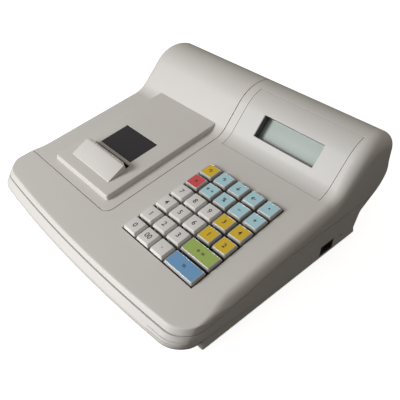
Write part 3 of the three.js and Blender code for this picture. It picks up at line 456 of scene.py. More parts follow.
def copied(piece):
    """A second piece with its own copy of the mesh."""
    twin = bpy.data.objects.new(piece.name, piece.data.copy())
    bpy.context.scene.collection.objects.link(twin)
    return twin


def corner_points(mesh):
    """The mesh's points as an array."""
    points = np.empty(len(mesh.vertices) * 3)
    mesh.vertices.foreach_get("co", points)
    return points.reshape(-1, 3)


def tilted(piece, tilt, place):
    """The piece turned about x and then moved."""
    piece.data.transform(Matrix.Translation(place) @ Matrix.Rotation(tilt, 4, "X"))
    return piece


def on_deck(piece, x, y):
    """The piece laid on the deck's plane at x and y."""
    return tilted(piece, DECK_TILT, (x, y, deck_height(y)))


def on_face(piece):
    """The piece laid on the hump's face, about the middle of the display."""
    rise = deck_height(HUMP_FOOT) + (SCREEN_Y - HUMP_FOOT) * math.tan(HUMP_TILT)
    return tilted(piece, HUMP_TILT, (SCREEN_X, SCREEN_Y, rise))


def below_seam(shift):
    """Everything under the seam between the base and the upper housing, the seam moved up by shift."""
    start, end = [(level + SEAM_BELOW_DECK - DECK_AT_NOSE) / math.tan(DECK_TILT)
                  for level in (SEAM_FRONT, SEAM_REAR)]
    front, rear = SEAM_FRONT + shift, SEAM_REAR + shift
    return prism("x", [(-FAR, -PAST), (DEPTH + FAR, -PAST), (DEPTH + FAR, rear), (end, rear), (start, front),
                       (-FAR, front)], -FAR, FAR)


def seam_height(y):
    """Height of the seam at y: a fixed depth under the deck, between two levels."""
    return float(np.clip(deck_height(y) - SEAM_BELOW_DECK, SEAM_FRONT, SEAM_REAR))


def inlay_space(gap=0):
    """The space over the display's inlay and a gap round it."""
    return block((BEZEL["left"] - gap, BEZEL["front"] - gap, SEAM_REAR),
                 (BEZEL["right"] + gap, BEZEL["rear"] + gap, FAR))


def lid_outline(grow):
    """The printer lid's outline from above, with its one round corner, grown by a margin."""
    radius, right, front = LID_CORNER + grow, LID_RIGHT + grow, LID_FRONT - grow
    angle = arc(13, -90, 0)
    corner = np.stack([right - radius + radius * np.cos(angle), front + radius + radius * np.sin(angle)], -1)
    return np.concatenate([[(-FAR, front)], corner, [(right, DEPTH + PAST), (-FAR, DEPTH + PAST)]])


def lid_space(grow):
    """The space that the printer lid fills: its outline from above, over the line of its skirt."""
    front = deck_height(LID_FRONT) - LID_SKIRT
    slope = (HINGE_HEIGHT - front) / (DEPTH - LID_FRONT)
    start = front - LID_FRONT * slope - grow
    end = front + (DEPTH + PAST - LID_FRONT) * slope - grow
    side = prism("x", [(0, start), (DEPTH + PAST, end), (DEPTH + PAST, FAR), (0, FAR)], -FAR, FAR)
    return common(prism("z", lid_outline(grow), 0, FAR), side)


def knuckle(x, place, grow=0):
    """One barrel of the lid's hinge, place counting -1, 0 and 1 along x, or the room that one needs."""
    middle = x + (KNUCKLE + KNUCKLE_GAP) * place
    half = KNUCKLE / 2 + (KNUCKLE_GAP if grow else 0)
    return rod(HINGE_RADIUS + grow, middle - half, middle + half, DEPTH, HINGE_HEIGHT)


def knuckles(places, grow=0):
    """The barrels at these places of both hinges."""
    return [knuckle(x, place, grow) for x in HINGE_X for place in places]


def hinge_bores():
    """The bores through both sets of hinge barrels."""
    reach = KNUCKLE * 1.5 + KNUCKLE_GAP
    return [rod(HINGE_BORE, x - reach, x + reach, DEPTH, HINGE_HEIGHT, 20) for x in HINGE_X]


def screw_spots():
    """Place, top of the boss and height of the seat of each case screw."""
    return [(side * SCREW["x"], y, top, seam_height(y) - SCREW["drop"])
            for side in (-1, 1) for y, top in ((SCREW["front"], FAR), (SCREW["rear"], SCREW["rear_top"]))]


def shell_solid():
    """The case's skin with its partition, screw bosses and board posts, the screw bores and the foot
    recesses cut out."""
    shell = cut(case_solid(0), case_solid(WALL))
    right, thickness, front = PARTITION["right"], PARTITION["thickness"], PARTITION["front"]
    fittings = block((right - thickness, front, 0), (right, DEPTH, FAR))
    front_wall = block((-FAR, front, 0), (right - thickness / 2, front + thickness, FAR))
    bosses = [post(SCREW["boss"], x, y, 0, top) for x, y, top, _ in screw_spots()]
    inner = BOARD["post"] * 2
    posts = [post(BOARD["post"], x, y, 0, BOARD["height"] - CLEAR, 20)
             for x in (BOARD["left"] + inner, BOARD["right"] - inner)
             for y in (BOARD["front"] + inner, BOARD["rear"] - inner)]
    joined(fittings, front_wall, *bosses, *posts)
    joined(shell, common(fittings, case_solid(WALL - BITE)))
    bores = []
    for x, y, _, seat in screw_spots():
        bores.append(post(SCREW["head"] + CLEAR, x, y, -PAST, seat))
        bores.append(post(SCREW["shank"] + CLEAR, x, y, 0, seat + SCREW["reach"] + CLEAR, 20))
    recesses = [post(FOOT["radius"] + CLEAR, side * FOOT["x"], y, -PAST, FOOT["height"] + CLEAR)
                for side in (-1, 1) for y in (FOOT["front"], FOOT["rear"])]
    return cut(shell, *bores, *recesses)


# Materials


def maths(operation, swapped=False):
    """A method that adds a Math node with this operation, its two values swapped for a reflected form."""
    def method(self, other):
        return self.worked_out(operation, *((other, self) if swapped else (self, other)))
    return method


class Signal:
    """A shader socket as a value. Sums, differences, products, quotients and comparisons add Math nodes."""

    def __init__(self, tree, socket):
        self.tree = tree
        self.socket = socket

    def into(self, node, name):
        """Links the socket to an input of a node."""
        self.tree.links.new(self.socket, node.inputs[name])

    def worked_out(self, operation, *values):
        """One Math node on these values."""
        node = self.tree.nodes.new("ShaderNodeMath")
        node.operation = operation
        for place, value in enumerate(values):
            feed(node, place, value)
        return Signal(self.tree, node.outputs[0])

    __add__ = maths("ADD")
    __radd__ = maths("ADD", swapped=True)
    __sub__ = maths("SUBTRACT")
    __rsub__ = maths("SUBTRACT", swapped=True)
    __mul__ = maths("MULTIPLY")
    __rmul__ = maths("MULTIPLY", swapped=True)
    __truediv__ = maths("DIVIDE")
    __rtruediv__ = maths("DIVIDE", swapped=True)
    __gt__ = maths("GREATER_THAN")
    __lt__ = maths("LESS_THAN")


def feed(node, name, value):
    """Gives an input of a node a link or a plain value."""
    if isinstance(value, Signal):
        value.into(node, name)
    else:
        node.inputs[name].default_value = value


class Graph:
    """A node tree under construction, of a material or a world."""

    def __init__(self, owner):
        owner.use_nodes = True
        self.tree = owner.node_tree
        self.tree.nodes.clear()

    def node(self, kind, settings=None, sockets=None, output=0):
        """Adds a node of this kind: its settings first, then the values or links of its sockets. Gives
        the output asked for, or nothing for a node without outputs."""
        node = self.tree.nodes.new("ShaderNode" + kind)
        for name, value in (settings or {}).items():
            setattr(node, name, value)
        for name, value in (sockets or {}).items():
            feed(node, name, value)
        return Signal(self.tree, node.outputs[output]) if node.outputs else None

    def ray(self, kind):
        """1 for this kind of ray and 0 for others."""
        return self.node("LightPath", output=f"Is {kind} Ray")

    def vector_maths(self, operation, first, second, output=0):
        """One Vector Math node."""
        return self.node("VectorMath", {"operation": operation}, {0: first, 1: second}, output)


class Finish(Graph):
    """A node material under construction."""

    def __init__(self, name):
        self.material = bpy.data.materials.new(name)
        super().__init__(self.material)

    def place(self):
        """Object coordinates."""
        return self.node("TexCoord", output="Object")

    def noise(self, scale, detail=2.0, vector=None):
        """A noise value about one half, its features one over scale across."""
        return self.node("TexNoise", None,
                         {"Vector": vector or self.place(), "Scale": scale, "Detail": detail})

    def mix(self, share, first, second):
        """A colour between two, by a share."""
        return self.node("Mix", {"data_type": "RGBA"}, {0: share, 6: first, 7: second}, output=2)

    def level(self, value, low, high):
        """A value from 0 to 1 carried to the range from low to high."""
        return self.node("MapRange", None, {"Value": value, "From Min": 0.0, "From Max": 1.0,
                                            "To Min": low, "To Max": high})

    def along(self, axis, vector=None):
        """One coordinate of a vector, or of the place on the piece."""
        return self.node("SeparateXYZ", None, {"Vector": vector or self.place()}, output=axis)

    def part(self, value):
        """What is left of a value past its last whole number."""
        return self.node("Math", {"operation": "FRACT"}, {0: value})

    def stripes(self, value, low, high=1.0):
        """1 where what is left past the last whole number lies between low and high."""
        part = self.part(value)
        return (part > low) * (part < high)

    def band(self, value, low, high):
        """A value's place between low and high, from 0 to 1."""
        return self.node("MapRange", {"interpolation_type": "SMOOTHSTEP"},
                         {"Value": value, "From Min": low, "From Max": high})

    def soft_normal(self, radius):
        """The normal as if sharp edges had this radius."""
        return self.node("Bevel", {"samples": 4}, {"Radius": radius}, output="Normal")

    def edge(self, radius):
        """1 on sharp edges within the radius and 0 on flat ground: one less the dot product of the
        softened normal and the surface's own."""
        flat = self.node("NewGeometry", output="Normal")
        match = self.vector_maths("DOT_PRODUCT", self.soft_normal(radius), flat, "Value")
        return self.band(1 - match, 0.0, 0.3)

    def bump(self, height, distance, strength=1.0, normal=None):
        """A bump from a height value."""
        sockets = {"Height": height, "Distance": distance, "Strength": strength}
        if normal:
            sockets["Normal"] = normal
        return self.node("Bump", None, sockets)

    def surface(self, **sockets):
        """Ends the material with a Principled shader; names use underscores for spaces."""
        values = {name.replace("_", " "): value for name, value in sockets.items()}
        shader = self.node("BsdfPrincipled", None, values)
        self.node("OutputMaterial", None, {"Surface": shader})
        return self.material


WHITE = (1.0, 1.0, 1.0, 1.0)


def linear(colour, gain=1.0):
    """A colour as it looks, made linear and four numbers long, times a gain."""
    return (*[channel * gain for channel in colour[:3]], 1.0)


def moulded_plastic(name, colour, roughness, grain_size=0.00045, depth=0.000012, softness=0.0003, coat=0.0,
                    mottle=0.02):
    """Moulded plastic: a fine spark-eroded grain, a faint mottling, and a painted highlight that lightens
    the colour on sharp edges.
    """
    finish = Finish(name)
    grain = finish.noise(1 / grain_size, 1.0)
    cloud = finish.noise(22.0, 3.0)
    edge = finish.edge(softness)
    tone = finish.mix(cloud, linear(colour, 1 - mottle), linear(colour, 1 + mottle))
    # Painted highlight: on sharp edges the colour goes part way towards one a quarter lighter.
    tone = finish.mix(edge * 0.35, tone, linear([min(1.0, c * 1.25) for c in colour[:3]]))
    height = grain + finish.noise(0.35 / grain_size, 0.0) * 0.5
    return finish.surface(
        Base_Color=tone,
        Roughness=finish.level(cloud, roughness - 0.04, roughness + 0.04) - edge * 0.08,
        Coat_Weight=coat,
        Coat_Roughness=0.08,
        Normal=finish.bump(height, depth, 0.8, finish.soft_normal(softness)),
    )


def clear_cap(name, rim, depth):
    """A clear cap's colour by height above the deck: the rim colour above and the low colour below. On the
    walls of coloured keys the low colour is partly the look into the clear wall and partly painted shade of
    the gaps between keys; on their rear corners the rim colour is a painted highlight.
    The height above the deck is the position times the deck's normal, less that of the deck itself."""
    finish = Finish(name)
    normal = (0.0, -math.sin(DECK_TILT), math.cos(DECK_TILT))
    ground = SHIFT * normal[1] + DECK_AT_NOSE * normal[2]
    height = finish.vector_maths("DOT_PRODUCT", finish.place(), normal, "Value")
    flow = finish.noise(260.0, 3.0)
    # Painted shade low on the walls, or on the rear corners a painted highlight high up.
    share = finish.band(height - ground + flow * 0.0004, CAP_DARK_BELOW, CAP_LIGHT_ABOVE)
    return finish.surface(
        Base_Color=finish.mix(share, linear(depth), linear(rim)),
        Roughness=finish.level(flow, 0.16, 0.26),
        Coat_Weight=0.5,
        Coat_Roughness=0.06,
        Normal=finish.bump(finish.noise(2500.0, 1.0), 0.000003, 0.6, finish.soft_normal(0.00025)),
    )


def printed_legend(name, colour):
    """Ink on a key top."""
    finish = Finish(name)
    speckle = finish.noise(2500.0, 2.0)
    return finish.surface(
        Base_Color=finish.mix(speckle, linear(colour, 0.85), linear(colour, 1.2)),
        Roughness=finish.level(speckle, 0.35, 0.5),
    )


def tinted_window(name, colour):
    """Dark tinted plastic: glossy, with faint rubbing marks."""
    finish = Finish(name)
    marks = finish.noise(420.0, 4.0)
    return finish.surface(
        Base_Color=finish.mix(marks, linear(colour, 0.9), linear(colour, 1.15)),
        Roughness=finish.level(finish.band(marks, 0.35, 0.75), 0.09, 0.16),
        Coat_Weight=0.3,
        Coat_Roughness=0.04,
        Normal=finish.bump(marks, 0.000004, 0.4, finish.soft_normal(0.0002)),
    )


def display_glass(name, colour, middle):
    """Liquid crystal glass in the display's own plane: a grey-green ground that darkens to one side, with
    faint cells of 5.5 by 9.8 mm, each made of dots that are 0.78 by 0.94 mm apart."""
    finish = Finish(name)
    local = finish.node("Mapping", {"vector_type": "TEXTURE"},
                        {"Vector": finish.place(), "Location": middle, "Rotation": (HUMP_TILT, 0.0, 0.0)})
    along, up = finish.along("X", local), finish.along("Y", local)
    cell = finish.stripes(along / 0.0055 + 40.5, 0.14, 0.86) * finish.stripes(up / 0.0098 + 40.0, 0.16, 0.84)
    dots = finish.stripes(along / 0.00078, 0.14) * finish.stripes(up / 0.00094, 0.14)
    shade = finish.level(finish.band(along, -0.038, 0.038), 0.93, 1.05)
    ground = finish.mix(cell * dots * 0.045, linear(colour), linear(colour, 0.35))
    tone = finish.mix(1 - shade * 0.92, ground, linear(colour, 0.55))
    return finish.surface(
        Base_Color=tone,
        Roughness=finish.level(finish.noise(300.0), 0.3, 0.38),
        Normal=finish.bump(cell, 0.000004, 0.3),
    )


def steel(name, colour, roughness):
    """Rolled or turned steel: fine streaks along the x axis and a little staining."""
    finish = Finish(name)
    streaked = finish.node("Mapping", {"vector_type": "POINT"},
                           {"Vector": finish.place(), "Scale": (40.0, 2600.0, 2600.0)})
    streak = finish.noise(1.0, 3.0, streaked)
    stain = finish.noise(90.0, 4.0)
    return finish.surface(
        Base_Color=finish.mix(stain, linear(colour, 0.82), linear(colour, 1.05)),
        Metallic=1.0,
        Roughness=finish.level(streak, roughness - 0.08, roughness + 0.12) + stain * 0.06,
        Normal=finish.bump(streak, 0.00001, 0.35, finish.soft_normal(0.00015)),
    )


def rubber(name, colour):
    """Moulded rubber: dull, with a bloom in the hollows and a fine tooth."""
    finish = Finish(name)
    tooth = finish.noise(1900.0, 3.0)
    bloom = finish.noise(130.0, 4.0)
    return finish.surface(
        Base_Color=finish.mix(finish.band(bloom, 0.4, 0.8), linear(colour), linear(colour, 1.7)),
        Roughness=finish.level(bloom, 0.72, 0.9),
        Normal=finish.bump(tooth, 0.00004, 0.5, finish.soft_normal(0.0003)),
    )


def paper_web(name, colour, middle):
    """Wound thermal paper: smooth round the roll, with the edges of its layers as fine rings on the
    ends, 0.42 mm apart, where the distance from the axis is a sawtooth."""
    finish = Finish(name)
    local = finish.vector_maths("SUBTRACT", finish.place(), middle)
    flat = finish.vector_maths("MULTIPLY", local, (0.0, 1.0, 1.0))
    radius = finish.node("VectorMath", {"operation": "LENGTH"}, {0: flat}, output="Value")
    layer = finish.part(radius / 0.00042)
    drift = finish.noise(300.0, 3.0)
    fibre = finish.noise(1500.0, 4.0)
    return finish.surface(
        Base_Color=finish.mix(layer * 0.5 + drift * 0.3, linear(colour), linear(colour, 0.72)),
        Roughness=finish.level(fibre, 0.6, 0.8),
        Normal=finish.bump(layer * 0.6 + fibre * 0.2, 0.00006, 0.4),
    )


def circuit_board(name, colour, pad):
    """A lacquered circuit board: tracks as a maze of fine lines, and tinned pads on a grid of 5.08 mm."""
    finish = Finish(name)
    along, deep = finish.along("X"), finish.along("Y")
    warp = finish.noise(60.0, 1.0) * 6.0
    line = finish.stripes(along / 0.0016 + deep / 0.0031 + warp, 0.42, 0.58)
    column, row = [finish.part(value / 0.00508) - 0.5 for value in (along, deep)]
    dot = (column * column + row * row) < 0.028
    tone = finish.mix(line * 0.55, linear(colour), linear(colour, 1.7))
    tone = finish.mix(dot * 0.9, tone, linear(pad))
    return finish.surface(
        Base_Color=tone,
        Metallic=dot * 0.9,
        Roughness=finish.level(finish.noise(500.0), 0.28, 0.4),
        Normal=finish.bump(line * 0.5 + dot, 0.00002, 0.5),
    )


def floor_finish(name, shown, lit, strength):
    """The floor: where a camera or transmitted ray meets it, it is white and keeps the shadow; for every
    other ray it is a quiet grey, so that little light comes back up."""
    finish = Finish(name)
    either = finish.ray("Camera") + finish.ray("Transmission")
    seen = finish.node("Math", {"operation": "MINIMUM"}, {0: either, 1: 1.0})
    dull, pale = [finish.node("BsdfDiffuse", None, {"Color": linear(shade)}) for shade in (lit, shown)]
    glow = finish.node("Emission", None, {"Color": WHITE, "Strength": strength})
    white = finish.node("AddShader", None, {0: pale, 1: glow})
    both = finish.node("MixShader", None, {0: seen, 1: dull, 2: white})
    finish.node("OutputMaterial", None, {"Surface": both})
    return finish.material


# Sizes and colours that a user would change


def length(label, text, value):
    """A length property in metres."""
    return bpy.props.FloatProperty(name=label, description=text, default=value, min=0.0, precision=5,
                                   subtype="DISTANCE", unit="LENGTH")


def colour(label, text, *value):
    """A colour property."""
    return bpy.props.FloatVectorProperty(name=label, description=text, default=value, size=3, min=0.0,
                                         max=1.0, subtype="COLOR")


def spot(label, text, *value):
    """A place in metres."""
    return bpy.props.FloatVectorProperty(name=label, description=text, default=value, size=3,
                                         subtype="TRANSLATION", unit="LENGTH")


def amount(label, text, value, **limits):
    """A plain number, from 0 up unless the limits say otherwise."""
    return bpy.props.FloatProperty(name=label, description=text, default=value, **{"min": 0.0, **limits})


class TicketRegisterSizes(bpy.types.PropertyGroup):
    """Sizes of the register's details."""

    seam_gap: length("Seam gap", "Gap between the base and the upper housing", 0.0012)
    lid_gap: length("Lid gap", "Gap round the printer lid", 0.0009)
    platform_edge: length("Platform edge", "Radius of the raised platform's top edge", 0.0014)
    platform_corner: length("Platform corner", "Radius of the platform's corners from above", 0.0024)
    hood_edge: length("Hood edge", "Radius of the hood's edges", 0.0005)
    screen_chamfer: length("Screen chamfer", "Chamfer round the display opening", 0.0005)
    key_top_inset: length("Key taper", "How far a key's top is stepped in from its skirt", 0.0015)
    key_edge: length("Key edge", "Radius of a key's top edge", 0.0004)
    key_corner: length("Key corner", "Radius of a key's corners", 0.0011)
    key_border: length("Key border", "Clear border round a coloured key top", 0.0003)
    key_foot: length("Key foot", "How far a key's skirt is stepped in below the deck", 0.0009)
    key_skirt_taper: length("Key skirt taper", "How far a key is stepped in at its shoulder", 0.00035)
    key_dip: length("Key dip", "Step from the clear border down to the coloured top", 0.00008)
    legend_height: length("Legend height", "Height of the digits on the keys", 0.0052)
    platen_chamfer: length("Platen chamfer", "Chamfer at the ends of the platen and its shaft", 0.0004)
    roll_edge: length("Roll edge", "Rounding of the ticket roll's edges", 0.0003)
    core_thickness: length("Core thickness", "Wall of the roll's cardboard core", 0.0012)
    web_step: length("Web step", "Step at the free end of the outer layer of paper", 0.00012)
    contact_pitch: length("Contact pitch", "Pitch of the contacts in the side socket", 0.00102)
    contact_wire: length("Contact wire", "Thickness of those contacts", 0.0004)
    jack_pin: length("Jack pin", "Radius of the pin in the power jack", 0.00065)
    foot_edge: length("Foot edge", "Rounding of the feet's lower edge", 0.0008)


class TicketRegisterColours(bpy.types.PropertyGroup):
    """Colours of the register, linear."""

    casing: colour("Casing", "Moulded case", 0.53, 0.506, 0.482)
    panel: colour("Display panel", "Inlay round the display", 0.505, 0.488, 0.47)
    key_white: colour("Digit keys", "Caps of the digit keys", 0.62, 0.6, 0.58)
    key_clear: colour("Clear caps", "Rims and sides of the coloured keys", 0.47, 0.465, 0.45)
    # Painted shade: the colour low on the coloured keys' walls, where the gaps between keys lie in shade.
    key_depth: colour("Clear caps, low down", "Sides of the coloured keys below the rims", 0.3, 0.29, 0.275)
    # A painted highlight: the near-white colour on the coloured keys' rear corners.
    key_lit: colour("Clear caps, rear corners", "Coloured keys' corners that catch light", 0.9, 0.9, 0.89)
    key_yellow: colour("Yellow", "Department keys", 0.6, 0.4, 0.022)
    key_pale: colour("Pale blue", "Function keys", 0.36, 0.57, 0.63)
    key_red: colour("Red", "Clear key", 0.55, 0.062, 0.072)
    key_green: colour("Green", "Subtotal key", 0.3, 0.4, 0.095)
    key_blue: colour("Blue", "Total key", 0.135, 0.29, 0.49)
    legend: colour("Legends", "Printed digits and signs", 0.02, 0.02, 0.025)
    black: colour("Black plastic", "Sockets and chassis", 0.018, 0.018, 0.02)
    tint: colour("Window", "Dark window in the printer lid", 0.011, 0.0095, 0.0145)
    lcd: colour("Display", "Liquid crystal glass", 0.335, 0.382, 0.352)
    gasket: colour("Gasket", "Frame round the display glass", 0.08, 0.088, 0.094)
    steel: colour("Steel", "Plain steel parts", 0.62, 0.6, 0.57)
    bar: colour("Tear bar", "Bright steel strip behind the hood", 0.8, 0.76, 0.72)
    brass: colour("Contacts", "Plated contacts", 0.75, 0.56, 0.25)
    rubber: colour("Rubber", "Feet and platen", 0.02, 0.02, 0.021)
    contact_sheet: colour("Contact sheet", "Silicone sheet under the keys", 0.32, 0.32, 0.33)
    gear: colour("Gear", "Natural acetal", 0.76, 0.73, 0.66)
    paper: colour("Paper", "Ticket roll", 0.84, 0.83, 0.79)
    core: colour("Core", "Cardboard core of the roll", 0.36, 0.25, 0.16)
    board: colour("Circuit board", "Lacquered boards", 0.012, 0.12, 0.045)


class TicketRegisterStage(bpy.types.PropertyGroup):
    """Light, floor and camera."""

    key_light: amount("Key light", "Large soft lamp at the front left", 53.5, unit="POWER")
    key_place: spot("Key light's place", "Where the key light stands", -1.148, -1.988, 1.04)
    key_size: length("Key light's size", "Side of the key light", 0.8)
    key_tint: colour("Key light's colour", "Colour of both lamps", 0.965, 0.985, 1.0)
    front_light: amount("Front light", "Weak low lamp close to the front", 1.7, unit="POWER")
    front_place: spot("Front light's place", "Where the front light stands", -0.18, -0.675, 0.12)
    front_size: length("Front light's size", "Side of the front light", 0.3)
    ambient: amount("Ambient", "Strength of the light from all round", 0.345)
    ambient_tint: colour("Ambient colour", "Colour of the light from all round", 1.0, 0.95, 0.87)
    floor_glow: amount("Floor glow", "White that the seen floor adds of itself", 0.8, max=1.0)
    floor_shown: colour("Floor as seen", "Floor's own colour where it is seen", 0.8, 0.8, 0.8)
    floor_lit: colour("Floor as a bounce", "Floor's colour for the light it sends back", 0.05, 0.05, 0.05)
    lens: amount("Lens", "Focal length of the camera, in millimetres", 44.212, min=1.0)
    camera_place: spot("Camera place", "Where the camera stands", 0.3081, -0.26169, 0.3397)


def recipe(make, shades, **settings):
    """How a finish is made: its function, the names of its colours and its settings."""
    return make, shades.split(), settings


COLOURED_TOP = {"roughness": 0.3, "grain_size": 0.0004, "depth": 0.000003, "softness": 0.0002, "coat": 0.2}
FINISHES = {
    "casing_plastic": recipe(moulded_plastic, "casing", roughness=0.5),
    "moulded_black": recipe(moulded_plastic, "black", roughness=0.42, mottle=0.08),
    "panel_plastic": recipe(moulded_plastic, "panel", roughness=0.46, softness=0.0002),
    "gasket_plastic": recipe(moulded_plastic, "gasket", roughness=0.5),
    "gear_acetal": recipe(moulded_plastic, "gear", roughness=0.36, grain_size=0.0003, depth=0.000004,
                          softness=0.0001),
    "core_card": recipe(moulded_plastic, "core", roughness=0.8, grain_size=0.0006, depth=0.00003,
                        softness=0.0001, mottle=0.12),
    "cap_white": recipe(moulded_plastic, "key_white", roughness=0.4, grain_size=0.0004, depth=0.000006,
                        softness=0.00025),
    **{f"cap_{tint}": recipe(moulded_plastic, f"key_{tint}", **COLOURED_TOP)
       for tint in ("yellow", "pale", "red", "green", "blue")},
    "cap_clear": recipe(clear_cap, "key_clear key_depth"),
    "cap_corner": recipe(clear_cap, "key_lit key_clear"),
    "cap_legend": recipe(printed_legend, "legend"),
    "window_tint": recipe(tinted_window, "tint"),
    "display_glass": recipe(display_glass, "lcd"),
    "plain_steel": recipe(steel, "steel", roughness=0.34),
    "head_metal": recipe(steel, "steel", roughness=0.3),
    "motor_can": recipe(steel, "steel", roughness=0.26),
    "bar_steel": recipe(steel, "bar", roughness=0.5),
    "plated_contacts": recipe(steel, "brass", roughness=0.22),
    "moulded_rubber": recipe(rubber, "rubber"),
    "contact_rubber": recipe(rubber, "contact_sheet"),
    "wound_paper": recipe(paper_web, "paper"),
    "board_lacquer": recipe(circuit_board, "board brass"),
}


class MakesPart:
    """What the operators share."""

    bl_options = {"REGISTER"}

    @property
    def sizes(self):
        return bpy.context.scene.ticket_register_sizes

    @property
    def colours(self):
        return bpy.context.scene.ticket_register_colours


    def finish(self, name, *more):
        """The material of this name, made on its first use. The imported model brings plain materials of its
        own, and none of their names is used here."""
        if name in PACKED:
            raise RuntimeError(f"{name} is a plain material of the packed model")
        make, shades, settings = FINISHES[name]
        colours = [getattr(self.colours, shade) for shade in shades]
        return bpy.data.materials.get(name) or make(name, *colours, *more, **settings)

    def carry_over(self, finish, *nodes, more=()):
        """Gives CAD nodes that stay this finish."""
        material = self.finish(finish, *more)
        for node in nodes:
            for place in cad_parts[node].material_slots:
                place.material = material

    def complete(self, piece, name, body, slot_name, materials, nodes=(), angle=30, shift=True):
        """Names a piece, moves it to the row frame, smooths it and ties it to the CAD frame."""
        piece.name = name
        piece.data.name = name
        if shift:
            moved(piece, (0, SHIFT, 0))
        piece.data.shade_smooth()
        piece.data.set_sharp_from_angle(angle=math.radians(angle))
        for place, material in enumerate(materials):
            if place < len(piece.data.materials):
                piece.data.materials[place] = material
            else:
                piece.data.materials.append(material)
        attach(piece, body)
        if nodes:
            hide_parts(*nodes)


# Pieces


class TICKET_OT_base(MakesPart, bpy.types.Operator):
    """Build the lower case with its front lip, port openings and screw bosses"""

    bl_idname = "ticket.base"
    bl_label = "Lower case"

    def execute(self, context):
        base = common(shell_solid(), below_seam(-self.sizes.seam_gap / 2))
        margin, inner = SOCKET["margin"], HALF - WALL * 2
        slot = block((inner, SOCKET["front"] - margin, GROUND + WALL + CLEAR),
                     (WIDTH, SOCKET["rear"] + margin, BOARD["height"] - CLEAR + margin))
        hole = rod(SIDE_HOLE["radius"], inner, WIDTH, SIDE_HOLE["y"], SIDE_HOLE["z"], 28)
        face = BASE_REAR + (JACK["z"] - GROUND) * math.tan(BASE_LEAN)
        wide, high = JACK["width"] / 2 + CLEAR, JACK["height"] / 2 + CLEAR
        jack = block((JACK["x"] - wide, face - JACK["depth"], JACK["z"] - high),
                     (JACK["x"] + wide, DEPTH, JACK["z"] + high))
        cut(base, slot, hole, jack, *self.grooves())
        self.complete(base, "lower_case", "housing", "casing", [self.finish("casing_plastic")],
                      ["base_housing"])
        return {"FINISHED"}

    def grooves(self):
        """Two fine lines round the right front corner and one upright parting line on the right side."""
        tools = []
        for level in GROOVE_LEVELS:
            band = cut(case_solid(-PAST / 10), case_solid(GROOVE["depth"]))
            reach = block((GROOVE["left"], -PAST, level - GROOVE["half"]),
                          (FAR, GROOVE["rear"], level + GROOVE["half"]))
            tools.append(common(band, reach))
        tools.append(block((HALF - PARTING["depth"], PARTING["front"], PARTING["low"]),
                           (FAR, PARTING["rear"], PARTING["high"])))
        return tools


class TICKET_OT_upper(MakesPart, bpy.types.Operator):
    """Build the upper housing: sloped deck, nose, display hump and hinge barrels"""

    bl_idname = "ticket.upper"
    bl_label = "Upper housing"

    def execute(self, context):
        sizes = self.sizes
        upper = cut(shell_solid(), below_seam(sizes.seam_gap / 2), lid_space(sizes.lid_gap / 2))
        cut(upper, *knuckles((-1, 1), CLEAR))
        joined(upper, self.ledge(sizes), *knuckles((0,)))
        gap, wall = BEZEL["gap"], (SCREEN["wall"] + CLEAR) * 2
        pocket = cut(inlay_space(gap), case_solid(BEZEL["thickness"] + gap))
        gasket = on_face(slab(SCREEN["width"] + wall, SCREEN["height"] + wall, -PAST * 2, PAST))
        opening = slab(KEY_PITCH * KEY_COLUMNS - KEY_GAP + OPENING_MARGIN * 2,
                       ROW_PITCH * KEY_ROWS - KEY_GAP + OPENING_MARGIN * 2, -WALL * 3, PAST)
        cut(upper, pocket, gasket, on_deck(opening, SCREEN_X, KEYPAD_Y), *hinge_bores())
        self.complete(upper, "upper_case", "housing", "casing", [self.finish("casing_plastic")],
                      ["upper_housing"])
        return {"FINISHED"}

    def ledge(self, sizes):
        """The band under the lid's front and right edges that the lid rests over, with its root."""
        band = prism("z", lid_outline(LID_LEDGE), 0, FAR)
        cut(band, prism("z", lid_outline(-LID_LEDGE), 0, FAR))
        outside = cut(copied(band), lid_space(sizes.lid_gap / 2))
        lower = WALL + CLEAR + LEDGE_THICKNESS
        shelf = common(cut(case_solid(WALL + CLEAR), case_solid(lower)), band)
        root = common(cut(case_solid(WALL - BITE), case_solid(lower)), outside)
        limit = prism("x", [(0, deck_height(0) - LEDGE_REACH), (DEPTH, deck_height(DEPTH) - LEDGE_REACH),
                            (DEPTH, FAR), (0, FAR)], -FAR, FAR)
        return common(joined(shelf, root), limit)


